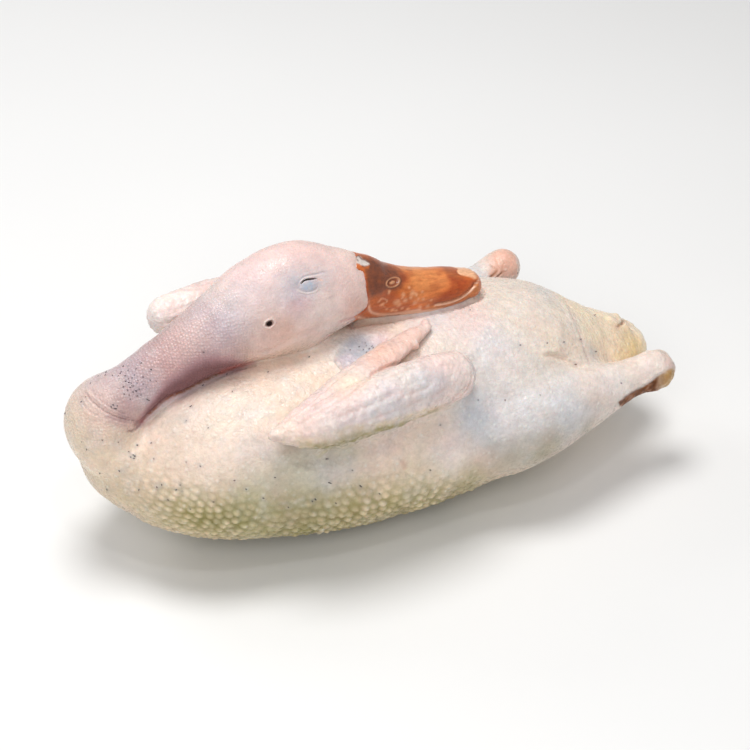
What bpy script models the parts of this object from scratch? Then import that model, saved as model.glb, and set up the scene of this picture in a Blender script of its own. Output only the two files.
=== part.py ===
"""A whole plucked duck with its head on, lying on its breast with the neck folded back over the body.

It is one piece, so it is one solid. Each limb is lofted through a few elliptical stations. A voxel remesh fuses
the limbs, smoothing softens the corners between them as fat under skin does, and then folds are pressed in.
Sizes are in millimetres until the last step. +X runs towards the tail, -Y is the duck's left side, and Z is up.
"""

import math

import bmesh
import bpy
import numpy as np
from mathutils import Matrix, Vector

MM = 0.001

# How finely the solid is made
VOXEL = 2.4
SECTION_SIDES = 40
STEPS_BETWEEN_STATIONS = 6
TRIANGLES = 10500
SMOOTH_FACTOR = 0.5

# Radius over which a corner between two fused limbs is rounded, in millimetres
TRUNK_SOFTNESS = 4.0
LIMB_SOFTNESS = 1.6

# Material of the raw skin, linear colour
SKIN_COLOUR = (0.78, 0.60, 0.47, 1.0)
SKIN_ROUGHNESS = 0.45

# Stations are (x, y, z, half width, half height). A limb's rows run from its root to its tip.
CARCASS = [
    (-163, 5, 70, 4, 4.5),
    (-159.5, 5, 69, 13, 13.5),
    (-152.5, 5, 66, 24, 20.5),
    (-140, 4, 61, 37, 26.5),
    (-122, 2, 58, 50.5, 37),
    (-96, 0, 57.5, 61, 47),
    (-62, 0, 55.5, 67, 52),
    (-25, 0, 54, 70, 56),
    (20, 0, 54.5, 69, 56),
    (60, 0, 57, 65, 54),
    (92, 0, 59, 58, 48),
    (117, 0, 58, 47, 38),
    (134, 0, 57, 34, 28),
    (146, 0, 56, 22, 17),
]
TAIL = [
    (104, 0, 58, 38, 33),
    (128, 0, 57, 34, 27),
    (146, 0, 56, 29, 20.5),
    (158, 0, 55, 24, 15),
    (166, 0, 54, 17, 10),
]
NEAR_LEG = [
    (36, -38, 54, 28, 33),
    (70, -45, 56, 26, 30),
    (100, -47, 60, 20, 23),
    (124, -45, 62, 15, 17),
    (146, -42, 62.5, 10.5, 12),
    (160, -41, 62, 12, 12.5),
]
FAR_LEG = [
    (20, 40, 52, 28, 36),
    (50, 50, 54, 26, 32),
    (78, 61, 58, 19, 23),
    (98, 69, 64, 12.5, 14.5),
    (110, 73, 69, 10.5, 11),
    (119, 75, 70.5, 11.5, 12),
]
NECK = [
    (-112, 2, 60, 40, 34),
    (-132, 3, 66, 33, 24),
    (-151, 4, 77, 26, 18.5),
    (-147.5, 5, 91.5, 23, 20),
    (-131, 6, 100, 17, 17),
    (-114, 7, 109, 16.5, 17),
    (-96, 7, 119, 18.5, 18.5),
    (-79, 8, 126, 21, 22),
]
HEAD = [
    (-84, 8, 123, 19, 20),
    (-66, 10, 129, 22, 26),
    (-48, 11, 133, 23, 30),
    (-31, 12, 134, 22, 30),
    (-15, 12, 133, 19.5, 24),
    (0, 13, 130, 17, 18.5),
    (8, 13, 128, 15.5, 17),
]
BILL = [
    (-6, 13, 129, 15, 18),
    (10, 14, 124.5, 15, 15.5),
    (25, 14, 119.5, 15, 13.5),
    (40, 14, 115.3, 15, 12.8),
    (54, 14, 114.2, 15.5, 10.9),
    (66, 14, 113.4, 13.5, 8.2),
]
NEAR_UPPER_ARM = [
    (-70, -42, 84, 16, 14),
    (-20, -50, 92, 15, 14),
    (27, -48, 96, 12, 12),
]
NEAR_FOREARM = [
    (-76, -60, 102.5, 2.2, 2.5),
    (-66, -60.5, 101.5, 6, 6.5),
    (-52, -61, 102, 11, 11.5),
    (-30, -60, 104, 13.5, 14.5),
    (-3, -57, 106, 14, 16),
    (19, -53, 105.5, 13.5, 15.5),
    (31, -50, 103.5, 12.5, 14),
]
NEAR_HAND = [
    (-75, -59.5, 103, 2.2, 2.2),
    (-59, -56.5, 107, 6, 4.5),
    (-40, -50, 110, 8.5, 5),
    (-19, -41, 112.5, 9.5, 4.8),
    (3, -28, 111.5, 8.5, 4.2),
    (19.5, -20, 111.8, 6, 3.4),
    (31.5, -14, 112.3, 3, 2.2),
]
FAR_UPPER_ARM = [
    (-84, 42, 86, 16, 15),
    (-38, 49, 88, 15, 15),
    (10, 50, 82, 13, 13),
]
FAR_FOREARM = [
    (-97, 52, 110, 11, 11.5),
    (-70, 57, 107, 12.5, 14),
    (-38, 60, 101, 13, 15),
    (-8, 60, 94, 13.5, 15.5),
    (12, 57, 88, 14, 15),
]
FAR_HAND = [
    (-97, 51, 109, 8, 8),
    (-68, 43, 105, 13, 8),
    (-38, 38, 103, 12, 7),
    (-12, 36, 102, 8.5, 5),
    (6, 36, 100, 4, 3),
]

# Direction in which a section's height is measured. The head is rolled, its crown towards the right side.
UPRIGHT = (0, 0, 1)
ROLLED = (0, 0.35, 1)
ACROSS_THE_FOLD = (1, 0, 0.3)

TRUNK_LIMBS = {
    "carcass": (CARCASS, UPRIGHT),
    "neck_root": (NECK[:4], ACROSS_THE_FOLD),
    "tail": (TAIL, UPRIGHT),
    "near_leg": (NEAR_LEG, UPRIGHT),
    "far_leg": (FAR_LEG, UPRIGHT),
    "near_upper_arm": (NEAR_UPPER_ARM, UPRIGHT),
    "far_upper_arm": (FAR_UPPER_ARM, UPRIGHT),
}
OUTER_LIMBS = {
    "neck": (NECK, ACROSS_THE_FOLD),
    "head": (HEAD, ROLLED),
    "bill": (BILL, ROLLED),
    "near_forearm": (NEAR_FOREARM, UPRIGHT),
    "near_hand": (NEAR_HAND, UPRIGHT),
    "far_forearm": (FAR_FOREARM, UPRIGHT),
    "far_hand": (FAR_HAND, UPRIGHT),
}

# Places where the skin sinks or swells: centre, reach along X, Y and Z, and depth (a swelling's is negative)
PRESSED = {
    "flank under the wing": ((-40, -70, 62), (46, 30, 12), 4.0),
    "hollow before the thigh": ((52, -62, 74), (16, 24, 20), 4.0),
    "thigh": ((86, -62, 66), (22, 24, 18), -2.5),
    "armpit": ((-14, -26, 98), (18, 8, 8), 3.0),
    "crease over the thigh": ((96, -40, 88), (20, 10, 5), 2.5),
    "crease before the tail": ((132, -12, 80), (5, 26, 22), 0.8),
    "far crease before the tail": ((132, 22, 72), (5, 16, 18), 0.8),
    "oil gland": ((154, 0, 76), (5, 7, 8), -2.0),
    "eye socket": ((-26, -5, 142), (8, 8, 7), 1.2),
    "breast keel": ((-70, 0, 6), (40, 14, 14), -1.5),
}


def clear_scene():
    for obj in list(bpy.data.objects):
        bpy.data.objects.remove(obj)


def skin_material():
    material = bpy.data.materials.new("skin")
    material.use_nodes = True
    shader = material.node_tree.nodes["Principled BSDF"]
    shader.inputs["Base Color"].default_value = SKIN_COLOUR
    shader.inputs["Roughness"].default_value = SKIN_ROUGHNESS
    shader.inputs["Metallic"].default_value = 0.0
    return material


def smooth_rows(stations, steps):
    """Rows on a Catmull-Rom curve through the stations, with steps rows from each one to the next."""
    rows = np.array(stations, float)
    before = 2 * rows[:1] - rows[1:2]
    after = 2 * rows[-1:] - rows[-2:-1]
    padded = np.concatenate([before, rows, after])
    made = []
    for i in range(1, len(padded) - 2):
        p0, p1, p2, p3 = padded[i - 1 : i + 3]
        for t in np.arange(steps) / steps:
            bend = (2 * p0 - 5 * p1 + 4 * p2 - p3) * t**2 + (3 * p1 - p0 - 3 * p2 + p3) * t**3
            made.append(0.5 * (2 * p1 + (p2 - p0) * t + bend))
    made.append(rows[-1])
    return np.array(made)


def domed_ends(rows, tangents):
    """The rows with a dome of four shrinking rings added beyond each end."""
    domes = []
    for end, outwards in ((0, -1), (-1, 1)):
        reach = min(rows[end, 3], rows[end, 4])
        dome = []
        for angle in np.radians([25, 48, 68, 85]):
            ring = rows[end].copy()
            ring[:3] += outwards * tangents[end] * reach * math.sin(angle)
            ring[3:] *= math.cos(angle)
            dome.append((ring, tangents[end]))
        domes.append(dome)
    return domes[0][::-1] + list(zip(rows, tangents)) + domes[1]


def limb(stations, up):
    """Points and faces of a closed tube lofted through elliptical stations, with domed ends."""
    rows = smooth_rows(stations, STEPS_BETWEEN_STATIONS)
    tangents = np.gradient(rows[:, :3], axis=0)
    tangents /= np.linalg.norm(tangents, axis=1)[:, None]
    rings = domed_ends(rows, tangents)
    n = SECTION_SIDES
    turns = np.linspace(0, 2 * math.pi, n, endpoint=False)[:, None]
    points = []
    for row, tangent in rings:
        rise = np.array(up) - np.dot(up, tangent) * tangent
        rise /= np.linalg.norm(rise)
        side = np.cross(tangent, rise)
        points.append(row[:3] + side * row[3] * np.cos(turns) + rise * row[4] * np.sin(turns))
    faces = [tuple(range(n - 1, -1, -1))]
    for i in range(len(rings) - 1):
        for k in range(n):
            following = (k + 1) % n
            faces.append((i * n + k, i * n + following, (i + 1) * n + following, (i + 1) * n + k))
    faces.append(tuple((len(rings) - 1) * n + k for k in range(n)))
    return np.concatenate(points), faces


def joined(name, shapes):
    """One object that holds several shapes, each given as its points and faces."""
    points, faces = [], []
    for shape_points, shape_faces in shapes:
        faces += [[len(points) + index for index in face] for face in shape_faces]
        points += [tuple(point) for point in shape_points]
    mesh = bpy.data.meshes.new(name)
    mesh.from_pydata(points, [], faces)
    obj = bpy.data.objects.new(name, mesh)
    bpy.context.scene.collection.objects.link(obj)
    return obj


def apply_modifiers(obj):
    graph = bpy.context.evaluated_depsgraph_get()
    mesh = bpy.data.meshes.new_from_object(obj.evaluated_get(graph))
    obj.modifiers.clear()
    obj.data = mesh


def fused(name, shapes, softness):
    """The shapes as one closed skin, its inner corners rounded over about softness millimetres."""
    obj = joined(name, shapes)
    remesh = obj.modifiers.new("Remesh", "REMESH")
    remesh.mode = "VOXEL"
    remesh.voxel_size = VOXEL
    smooth = obj.modifiers.new("Smooth", "SMOOTH")
    smooth.factor = SMOOTH_FACTOR
    smooth.iterations = round(2 * (softness / VOXEL) ** 2 / SMOOTH_FACTOR)
    apply_modifiers(obj)
    return obj


def taken_apart(obj):
    """The points and faces of an object, which is then removed."""
    points = np.array([vertex.co for vertex in obj.data.vertices])
    faces = [tuple(polygon.vertices) for polygon in obj.data.polygons]
    bpy.data.objects.remove(obj)
    return points, faces


def press_folds(obj):
    """Moves the skin along its normals, inwards at a hollow and outwards at a swelling."""
    points = np.array([vertex.co for vertex in obj.data.vertices])
    normals = np.array([vertex.normal for vertex in obj.data.vertices])
    inwards = np.zeros(len(points))
    for centre, reach, depth in PRESSED.values():
        distance = np.linalg.norm((points - centre) / reach, axis=1)
        inwards += depth * np.exp(-(distance**2))
    moved = points - normals * inwards[:, None]
    obj.data.vertices.foreach_set("co", moved.ravel())
    obj.data.update()


def thin_out(obj):
    """Fewer, larger triangles, up to the limit for one solid."""
    triangles = sum(len(polygon.vertices) - 2 for polygon in obj.data.polygons)
    decimate = obj.modifiers.new("Decimate", "DECIMATE")
    decimate.ratio = TRIANGLES / triangles
    decimate.use_collapse_triangulate = True
    apply_modifiers(obj)


def stand_on_base(obj):
    """Centres the duck on the origin and flattens its breast where it rests, at Z = 0."""
    low = Vector(min(vertex.co[axis] for vertex in obj.data.vertices) for axis in range(3))
    high = Vector(max(vertex.co[axis] for vertex in obj.data.vertices) for axis in range(3))
    centre = (low + high) / 2
    obj.data.transform(Matrix.Translation((-centre.x, -centre.y, 0)))
    for vertex in obj.data.vertices:
        vertex.co.z = max(vertex.co.z, 0.0)


def split_into_triangles(obj):
    shape = bmesh.new()
    shape.from_mesh(obj.data)
    bmesh.ops.triangulate(shape, faces=shape.faces)
    shape.to_mesh(obj.data)
    shape.free()


def build_duck():
    """The trunk with its legs is fused soft first. The slimmer limbs then join it with crisper creases."""
    trunk = fused("trunk", [limb(*given) for given in TRUNK_LIMBS.values()], TRUNK_SOFTNESS)
    outer = [limb(*given) for given in OUTER_LIMBS.values()]
    duck = fused("duck", [taken_apart(trunk), *outer], LIMB_SOFTNESS)
    press_folds(duck)
    thin_out(duck)
    stand_on_base(duck)
    split_into_triangles(duck)
    duck.data.transform(Matrix.Scale(MM, 4))
    duck.data.materials.append(skin_material())
    duck.data.shade_smooth()
    return duck


clear_scene()
build_duck()
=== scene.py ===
"""The looks of a whole plucked duck, lying on its breast with the neck folded back and the head on its back.

Sizes are in millimetres in the frame of the limb tables, until place() moves a piece to the CAD frame, in
metres. +X runs towards the tail, -Y is the duck's left side, and Z is up. Details are placed by pixels of the
photograph (across, down), cast from its camera onto the surface that carries them. Their widths, radii,
depths and heights are in millimetres.
"""

import math

import bmesh
import bpy
import numpy as np
from mathutils import Matrix, Vector
from mathutils.bvhtree import BVHTree

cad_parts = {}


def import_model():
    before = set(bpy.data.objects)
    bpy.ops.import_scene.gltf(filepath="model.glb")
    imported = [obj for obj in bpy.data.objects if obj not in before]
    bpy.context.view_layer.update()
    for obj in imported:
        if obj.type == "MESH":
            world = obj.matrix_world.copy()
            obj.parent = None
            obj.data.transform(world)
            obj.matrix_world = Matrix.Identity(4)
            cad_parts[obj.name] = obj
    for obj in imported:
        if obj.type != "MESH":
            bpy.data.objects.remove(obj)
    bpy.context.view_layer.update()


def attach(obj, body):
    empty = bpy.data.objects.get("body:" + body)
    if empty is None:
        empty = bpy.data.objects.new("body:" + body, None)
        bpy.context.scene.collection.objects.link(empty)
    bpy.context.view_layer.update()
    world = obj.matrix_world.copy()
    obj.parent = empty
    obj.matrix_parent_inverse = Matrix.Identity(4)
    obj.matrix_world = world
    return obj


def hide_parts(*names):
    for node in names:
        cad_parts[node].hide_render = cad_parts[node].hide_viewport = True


MM = 0.001
ROW_TO_FRAME = (-2.395, -5.96, 0.0)

# How finely each piece is made
SECTION_SIDES = 64
STEPS_BETWEEN_STATIONS = 8
TRUNK_VOXEL = 1.6
SKIN_VOXEL = 0.85
WING_VOXEL = 0.65
SKIN_TRIANGLES = 193000
WING_TRIANGLES = 120000
SMOOTH_FACTOR = 0.5

# Radius over which a corner between two fused limbs is rounded
TRUNK_SOFTNESS = 4.0
LIMB_SOFTNESS = 1.1
WING_SOFTNESS = 0.9

# The photograph's camera, in the frame of the limb tables
PHOTO_SIZE = 750
FOCAL_PIXELS = 2241.0
AZIMUTH = -22.0
ELEVATION = 38.0
DISTANCE = 1300.0
LOOK_AT = (19.4, 32.6, 48.0)
SENSOR = 36.0

# Lamps, in metres: name, position, width, watts and colour, the point that all of them face, and the floor
LAMPS = [
    ("overhead", (-0.1, 0.12, 1.3), 0.55, 10.0, (1.0, 0.99, 0.97)),
    ("front", (-0.55, -1.0, 1.0), 0.7, 5.4, (1, 1, 1)),
    ("behind", (-0.6, 0.9, 0.8), 0.5, 2.4, (1, 1, 1)),
    ("glint", (-0.1, -0.5, 1.2), 0.1, 0.9, (1, 1, 1)),
]
LIT_POINT = (0, 0, 0.05)
SKY_STRENGTH = 0.34
FLOOR_CORNERS = [(-3, -3, 0), (3, -3, 0), (3, 3, 0), (-3, 3, 0)]

# Limb stations are (x, y, z, half width, half height)
CARCASS = [
    (-163, 5, 70, 4, 4.5), (-159.5, 5, 69, 13, 13.5), (-152.5, 5, 66, 24, 20.5), (-140, 4, 61, 37, 26.5),
    (-122, 2, 58, 50.5, 37), (-96, 0, 57.5, 61, 47), (-62, 0, 55.5, 67, 52), (-25, 0, 54, 70, 56),
    (20, 0, 54.5, 69, 56), (60, 0, 57, 65, 54), (92, 0, 59, 58, 48), (117, 0, 58, 47, 38),
    (134, 0, 57, 34, 28), (146, 0, 56, 22, 17),
]
TAIL = [
    (104, 0, 58, 38, 33), (128, 0, 57, 34, 27), (146, 0, 56, 29, 20.5), (158, 0, 55, 24, 15),
    (166, 0, 54, 17, 10),
]
NEAR_LEG = [
    (36, -38, 54, 28, 33), (70, -45, 56, 26, 30), (100, -47, 60, 20, 23), (124, -45, 62, 15, 17),
    (146, -42, 62.8, 10.6, 12), (162, -41, 63.4, 12.2, 12.7),
]
FAR_LEG = [
    (20, 40, 52, 28, 36), (50, 50, 54, 26, 32), (78, 61, 58, 19, 23), (98, 69, 64, 12.5, 14.5),
    (110, 73, 69, 10.5, 11), (119, 75, 70.5, 11.5, 12),
]
NECK = [
    (-112, 2, 60, 40, 34), (-132, 3, 66, 33, 24), (-151, 4, 77, 26, 18.5), (-147.5, 5, 91.5, 23, 20),
    (-131, 6, 100, 17, 17), (-114, 7, 109, 16.5, 17), (-96, 7, 119, 18.5, 18.5), (-79, 8, 126, 21, 22),
]
HEAD = [
    (-84, 8, 123, 19, 20), (-66, 10, 129, 22, 26), (-48, 11, 133, 23, 30), (-31, 12, 134, 22, 30),
    (-15, 12, 133, 19.5, 24), (0, 13, 130, 16.4, 18.2), (8, 13, 128, 15.2, 16.4),
]
BILL = [
    (-20, 12.4, 131.8, 16.5, 21.5), (-8, 13, 129.5, 15.4, 18.4), (2, 13.5, 127.3, 15.4, 17),
    (10, 14, 124.6, 15.3, 15.7), (25, 14, 119.5, 15, 13.5), (40, 14, 115.3, 15, 12.8),
    (54, 14, 114.2, 15.5, 10.9), (66, 14, 113.4, 13.5, 8.2),
]
NEAR_UPPER_ARM = [
    (-70, -42, 84, 16, 14), (-20, -50, 92, 15, 14), (27, -48, 96, 12, 12),
]
NEAR_FOREARM = [
    (-76, -60, 102.5, 2.2, 2.5), (-66, -60.5, 101.5, 6, 6.5), (-52, -61, 102, 11, 11.5),
    (-30, -60, 104, 13.5, 14.5), (-3, -57, 106, 14, 16), (19, -53, 105.5, 13.5, 15.5),
    (31, -50, 103.5, 12.5, 14),
]
NEAR_HAND = [
    (-75, -59.5, 103, 2.2, 2.2), (-59, -56.5, 107, 6, 4.5), (-40, -50, 110, 8.5, 5),
    (-19, -41, 112.5, 9.5, 4.8), (3, -28, 111.5, 8.5, 4.2), (19.5, -20, 111.8, 6, 3.4),
    (31.5, -14, 112.3, 3, 2.2),
]
FAR_UPPER_ARM = [
    (-84, 42, 86, 16, 15), (-38, 49, 88, 15, 15), (10, 50, 82, 13, 13),
]
FAR_FOREARM = [
    (-97, 52, 110, 11, 11.5), (-70, 57, 107, 12.5, 14), (-38, 60, 101, 13, 15), (-8, 60, 94, 13.5, 15.5),
    (12, 57, 88, 14, 15),
]
FAR_HAND = [
    (-97, 51, 109, 8, 8), (-68, 43, 105, 13, 8), (-38, 38, 103, 12, 7), (-12, 36, 102, 8.5, 5),
    (6, 36, 100, 4, 3),
]

# Where limbs of the two sides start and end, as they answer to each other
NEAR_HOCK = ((124, -45, 62), (160, -41, 62))
FAR_HOCK = ((98, 69, 64), (119, 75, 70.5))
NEAR_ARM = ((-78, -60, 102.5), (31, -50, 103.5))
FAR_ARM = ((-107, 51.5, 112), (12, 57, 88))

# The other side of the duck repeats the details that lie this far off the middle and below this height. The
# far leg begins at a Y of its own, and its hock at an X and a Y.
OTHER_SIDE = (1, -1, 1)
SIDE_STARTS = 18
SIDE_TOP = 112
FAR_LEG_STARTS = 50
FAR_HOCK_STARTS = (92, 55)

# The middle plane of the rolled head: a point in it, and the direction of the head's left side
HEAD_MIDDLE = np.array([-30.0, 12.0, 131.0])
HEAD_SIDE = np.array([0.067, -0.937, 0.342]) / np.linalg.norm([0.067, -0.937, 0.342])

# Direction in which a section's height is measured. The head is rolled, its crown towards the right side.
UPRIGHT = (0, 0, 1)
ROLLED = (0, 0.35, 1)
ACROSS_THE_FOLD = (1, 0, 0.3)

TRUNK_LIMBS = [
    (CARCASS, UPRIGHT),
    (NECK[:4], ACROSS_THE_FOLD),
    (TAIL, UPRIGHT),
    (NEAR_LEG, UPRIGHT),
    (FAR_LEG, UPRIGHT),
    (NEAR_UPPER_ARM, UPRIGHT),
    (FAR_UPPER_ARM, UPRIGHT),
]
NECK_AND_HEAD = [(NECK, ACROSS_THE_FOLD), (HEAD, ROLLED), (BILL, ROLLED)]
SKIN_LIMBS = TRUNK_LIMBS + NECK_AND_HEAD[:2]
NEAR_WING = [(NEAR_FOREARM, UPRIGHT), (NEAR_HAND, UPRIGHT)]
FAR_WING = [(FAR_FOREARM, UPRIGHT), (FAR_HAND, UPRIGHT)]

# The chest, where neck and breast flow together: its centre, its reach and the rounds of smoothing
CHEST = ((-167, 10, 54), (18, 42, 20), 320)

# Places where the skin sinks or swells: centre, reach along X, Y and Z, and depth (a swelling's is negative)
PRESSED = [
    ((-40, -70, 62), (46, 30, 12), 4), ((52, -62, 74), (16, 24, 20), 4), ((86, -62, 66), (22, 24, 18), -2.5),
    ((-14, -26, 98), (18, 8, 8), 3), ((96, -40, 88), (20, 10, 5), 2.5), ((132, -12, 80), (5, 26, 22), 0.8),
    ((132, 22, 72), (5, 16, 18), 0.8), ((154, 0, 76), (5, 7, 8), -2), ((-70, 0, 6), (40, 14, 14), -1.5),
]

# Feather follicles of the flanks and quill follicles of the wings: spacing and height of the bumps. Then how
# far a bump strays from its place, the distance of the rows and a bump's radius, as shares of the spacing.
FOLLICLE_SPACING = 5.7
FOLLICLE_HEIGHT = 1.65
QUILL_SPACING = 4.4
BUMP_STRAY = 0.22
ROW_DISTANCE = 0.8
BUMP_RADIUS = 0.52

# Axes that the rows of bumps run round: the height and radius of the carcass, and the direction, place and
# radius of the forearm
CARCASS_Z, CARCASS_RADIUS = 55, 62
FOREARM_ALONG = np.array([0.98, 0.06, 0.03])
FOREARM_Y, FOREARM_Z, FOREARM_RADIUS = -57, 102, 13

# How sharply the skin passes from one limb's looks to the next one's
SHARE_SHARPNESS = 9

# How far from a fold's line its lips stand, in half widths, and the share of its length over which it fades
LIP_DISTANCE = 1.9
FOLD_FADE = 0.18

# Folds in the skin: pixels along the fold, half width, depth and height of the lips beside it
SKIN_FOLDS = {
    "neck fold 1": ([(84, 390), (91, 400), (99, 407), (108, 413), (119, 417.5), (130, 420), (140, 421)],
        0.5, 0.85, 0.3),
    "neck fold 2": ([(91, 396), (100, 405), (111, 411.5), (124, 416.5), (136, 419)], 0.42, 0.6, 0.25),
    "neck fold 3": ([(81, 400), (86, 408), (94, 414.5), (101, 416.5)], 0.5, 0.4, 0.2),
    "neck fold 4": ([(89, 386), (96, 396), (105, 404), (116, 410.5), (130, 415.5)], 0.45, 0.5, 0.2),
    "neck fold 5": ([(88, 380), (95, 391), (104, 400), (115, 407)], 0.45, 0.32, 0.15),
    "neck fold 6": ([(107, 416), (118, 420.5), (130, 422.5), (139, 422.3)], 0.42, 0.5, 0.2),
    "under the crease": ([(127, 430.6), (131.5, 431), (136.5, 428.3), (140, 424.5), (142, 421)],
        0.7, 0.9, 0.3),
    "jaw": ([(248, 352), (262, 352.5), (280, 346), (300, 335), (322, 326), (343, 320)], 1.6, 0.5, 0.2),
    "mouth": ([(340, 322), (350, 319), (358, 315)], 0.9, 0.7, 0.3),
    "armpit edge": ([(335, 359), (339, 365), (346, 371)], 0.8, 1.2, 0.6),
    "under the shoulder": ([(306, 449), (322, 457), (345, 452), (380, 437)], 5, 1.6, 0.3),
    "shoulder fold": ([(318, 458), (324, 452), (334, 445), (347, 439), (362, 434)], 0.9, 1, 0.5),
    "thigh": ([(541, 357), (549, 355.5), (556, 356.5), (566, 360.5), (575, 365), (588, 367.5)],
        1.5, 1.1, 0.6),
    "thigh 2": ([(556, 350), (568, 354), (578, 362)], 1.2, 0.3, 0.15),
    "tail": ([(565, 298), (570, 310), (575, 322), (580, 335), (583, 346), (587, 357), (590, 366)],
        0.7, 0.5, 0),
    "tail 2": ([(569, 303), (575, 316), (580, 329), (584, 340)], 0.6, 0.2, 0),
    "tail 3": ([(559, 300), (566, 314), (572, 328), (576, 341)], 0.7, 0.2, 0),
    "tail 4": ([(575, 306), (580, 318), (584, 331)], 0.6, 0.15, 0),
    "oil gland": ([(624, 321), (620.5, 325), (616.5, 327.5)], 0.9, 1.5, 0.5),
    "hock edge": ([(666, 371.5), (658, 375), (650, 381.5), (641, 387), (630, 393), (619, 400.5)],
        0.6, 0.5, 0.6),
}
MIRRORED_FOLDS = ("tail", "tail 2", "tail 3", "tail 4")

# The hocks: folds of the far one, the near one's scaly underside, and the far one's salmon skin (outlines)
FAR_HOCK_FOLDS = [
    ([(490.7, 277), (493, 275.2), (495.7, 271.8)], 0.9, 1.4, 0.5),
    ([(496.8, 277), (499, 275.2), (502, 272.7)], 0.5, 1, 0.5),
    ([(490, 264.5), (494, 267.5), (498, 269.5)], 0.4, 0.25, 0.2),
    ([(495, 259), (498, 264), (500, 268.5)], 0.4, 0.2, 0.2),
    ([(505, 262), (503, 266), (501.5, 270)], 0.4, 0.2, 0.2),
]
HOCK_UNDERSIDE = [
    (618, 402), (630, 392.8), (643, 386.5), (652, 380.5), (659, 375), (668, 370), (674, 369), (677, 378),
    (670, 390), (656, 400), (638, 406), (622, 407),
]
FAR_HOCK_SKIN = [
    (488, 252), (498, 248), (508, 248), (517, 255), (522, 266), (522, 276), (510, 276), (489, 276),
    (492, 268), (493, 260),
]

# Lumps of the tail's upper side and end: pixel, radius and height
TAIL_LUMPS = [
    (616, 317.5, 3.6, 2.2), (607, 316.5, 3, -1), (625, 323.5, 2, -1.6), (636, 334, 4, 0.8),
    (641, 343, 2.2, 0.6), (637, 351, 2.2, 0.6), (631, 359, 2.2, 0.7),
]

# The hollow behind the wing. The gap under the neck, the band of painted shade over it (pixels across the
# photograph, then its thickness in pixels), and the red line at its end.
ARMPIT = [
    (336, 360), (341, 350), (347, 342), (356, 336), (366, 335), (377, 338), (386, 337), (380, 346),
    (368, 355), (356, 366), (346, 371),
]
NECK_GAP = [
    (132, 429), (142, 421), (155, 409), (168, 398), (184.7, 391), (205.8, 380), (229, 370), (248, 364.5),
    (260, 362),
]
NECK_SHADE_BAND = ((138, 150, 165, 180, 195, 210, 225, 240, 252), (6, 10, 15, 20, 24, 21, 13, 6, 2))
RED_LINE = [(220, 373.5), (228, 370), (238, 366.5), (252, 362.5)]

# Stubs of pin feathers: pixel and length. Then the limits of their radius and the seed of their random draws.
PINS = [
    (147, 399.5, 1.9), (113, 405, 0.8), (115, 408.5, 1.1), (111, 406.5, 0.7), (117, 406, 0.7),
    (190, 406.5, 2.2), (133, 455, 0.7), (134.5, 456, 0.8), (130.5, 457, 0.6), (133.5, 458.3, 0.9),
    (137, 445, 0.9), (128.6, 451.6, 0.6), (153.8, 458.7, 0.9), (86.5, 449, 0.9), (119, 470.7, 0.9),
    (200, 466, 0.9), (156.7, 487, 0.8), (139, 489.5, 0.7), (161.8, 484.5, 0.9), (176, 490, 0.8),
    (180, 485, 0.8), (182, 491, 0.7), (167.7, 499.7, 0.9), (234, 480.5, 0.9), (107, 489, 1),
    (99.7, 473, 0.8), (226.7, 375, 1.1), (202.5, 385.5, 1.3), (127, 390, 0.9), (131.8, 378, 0.8),
    (123, 387, 0.7), (133, 386, 0.8), (129, 395, 0.7), (136, 391, 0.7), (151, 369.5, 0.8), (65.5, 413, 0.9),
    (81, 402, 0.7), (141, 363, 0.7), (150, 380, 0.7), (203, 352, 1.2), (156, 381, 0.6), (137, 396, 0.7),
    (328.7, 482.6, 1.9), (360, 485.6, 1.5), (315, 499, 1.1), (312, 501, 0.8), (274.6, 477.4, 0.9),
    (335.6, 503, 0.9), (326, 459, 1.6), (379.2, 493.3, 1), (263, 498, 0.9), (288, 507, 0.9), (246, 489, 0.7),
    (213, 502, 0.9), (190, 509, 0.8), (352, 470, 0.7), (430, 470, 0.7), (366, 346, 0.7), (369, 349, 0.8),
    (371.6, 346.5, 1), (363, 350, 0.7), (366, 352.5, 0.9), (373, 348, 0.6), (359, 347, 0.6), (380, 347, 0.6),
    (368, 355, 0.9), (350, 350, 0.6), (365, 343, 0.5), (371, 351, 0.7), (594, 315.3, 1.4), (563.5, 342, 1),
    (595, 351.5, 1.3), (575, 364.3, 1.1), (580.5, 339.5, 0.8), (547, 343, 0.6), (440, 425, 0.6),
    (621, 383, 0.7), (505, 400, 0.5), (470, 310, 0.5), (520, 345, 0.6), (121, 372, 0.5), (125, 376, 0.6),
    (128, 370.5, 0.5), (131, 383, 0.5), (134.5, 375, 0.6), (137, 383, 0.5), (139, 389, 0.6), (126, 381, 0.5),
    (119, 379, 0.4), (133, 392, 0.5), (143, 377, 0.5), (146, 387, 0.5), (141, 395, 0.4), (124, 394, 0.5),
    (130, 399, 0.5), (128, 366, 0.5), (136, 369, 0.5), (143, 384, 0.4), (268, 372, 0.6), (232, 392, 0.7),
    (309, 357, 0.7), (421, 374, 0.5), (208, 428, 0.6), (186, 421, 0.6), (151, 443, 0.7), (102, 440, 0.6),
    (118, 442, 0.6), (186, 462, 0.7), (478, 400, 0.6), (540, 395, 0.5),
]
PIN_RADIUS = (0.2, 0.33)
PIN_SEED = 51
PIN_SIDES = 6

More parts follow.
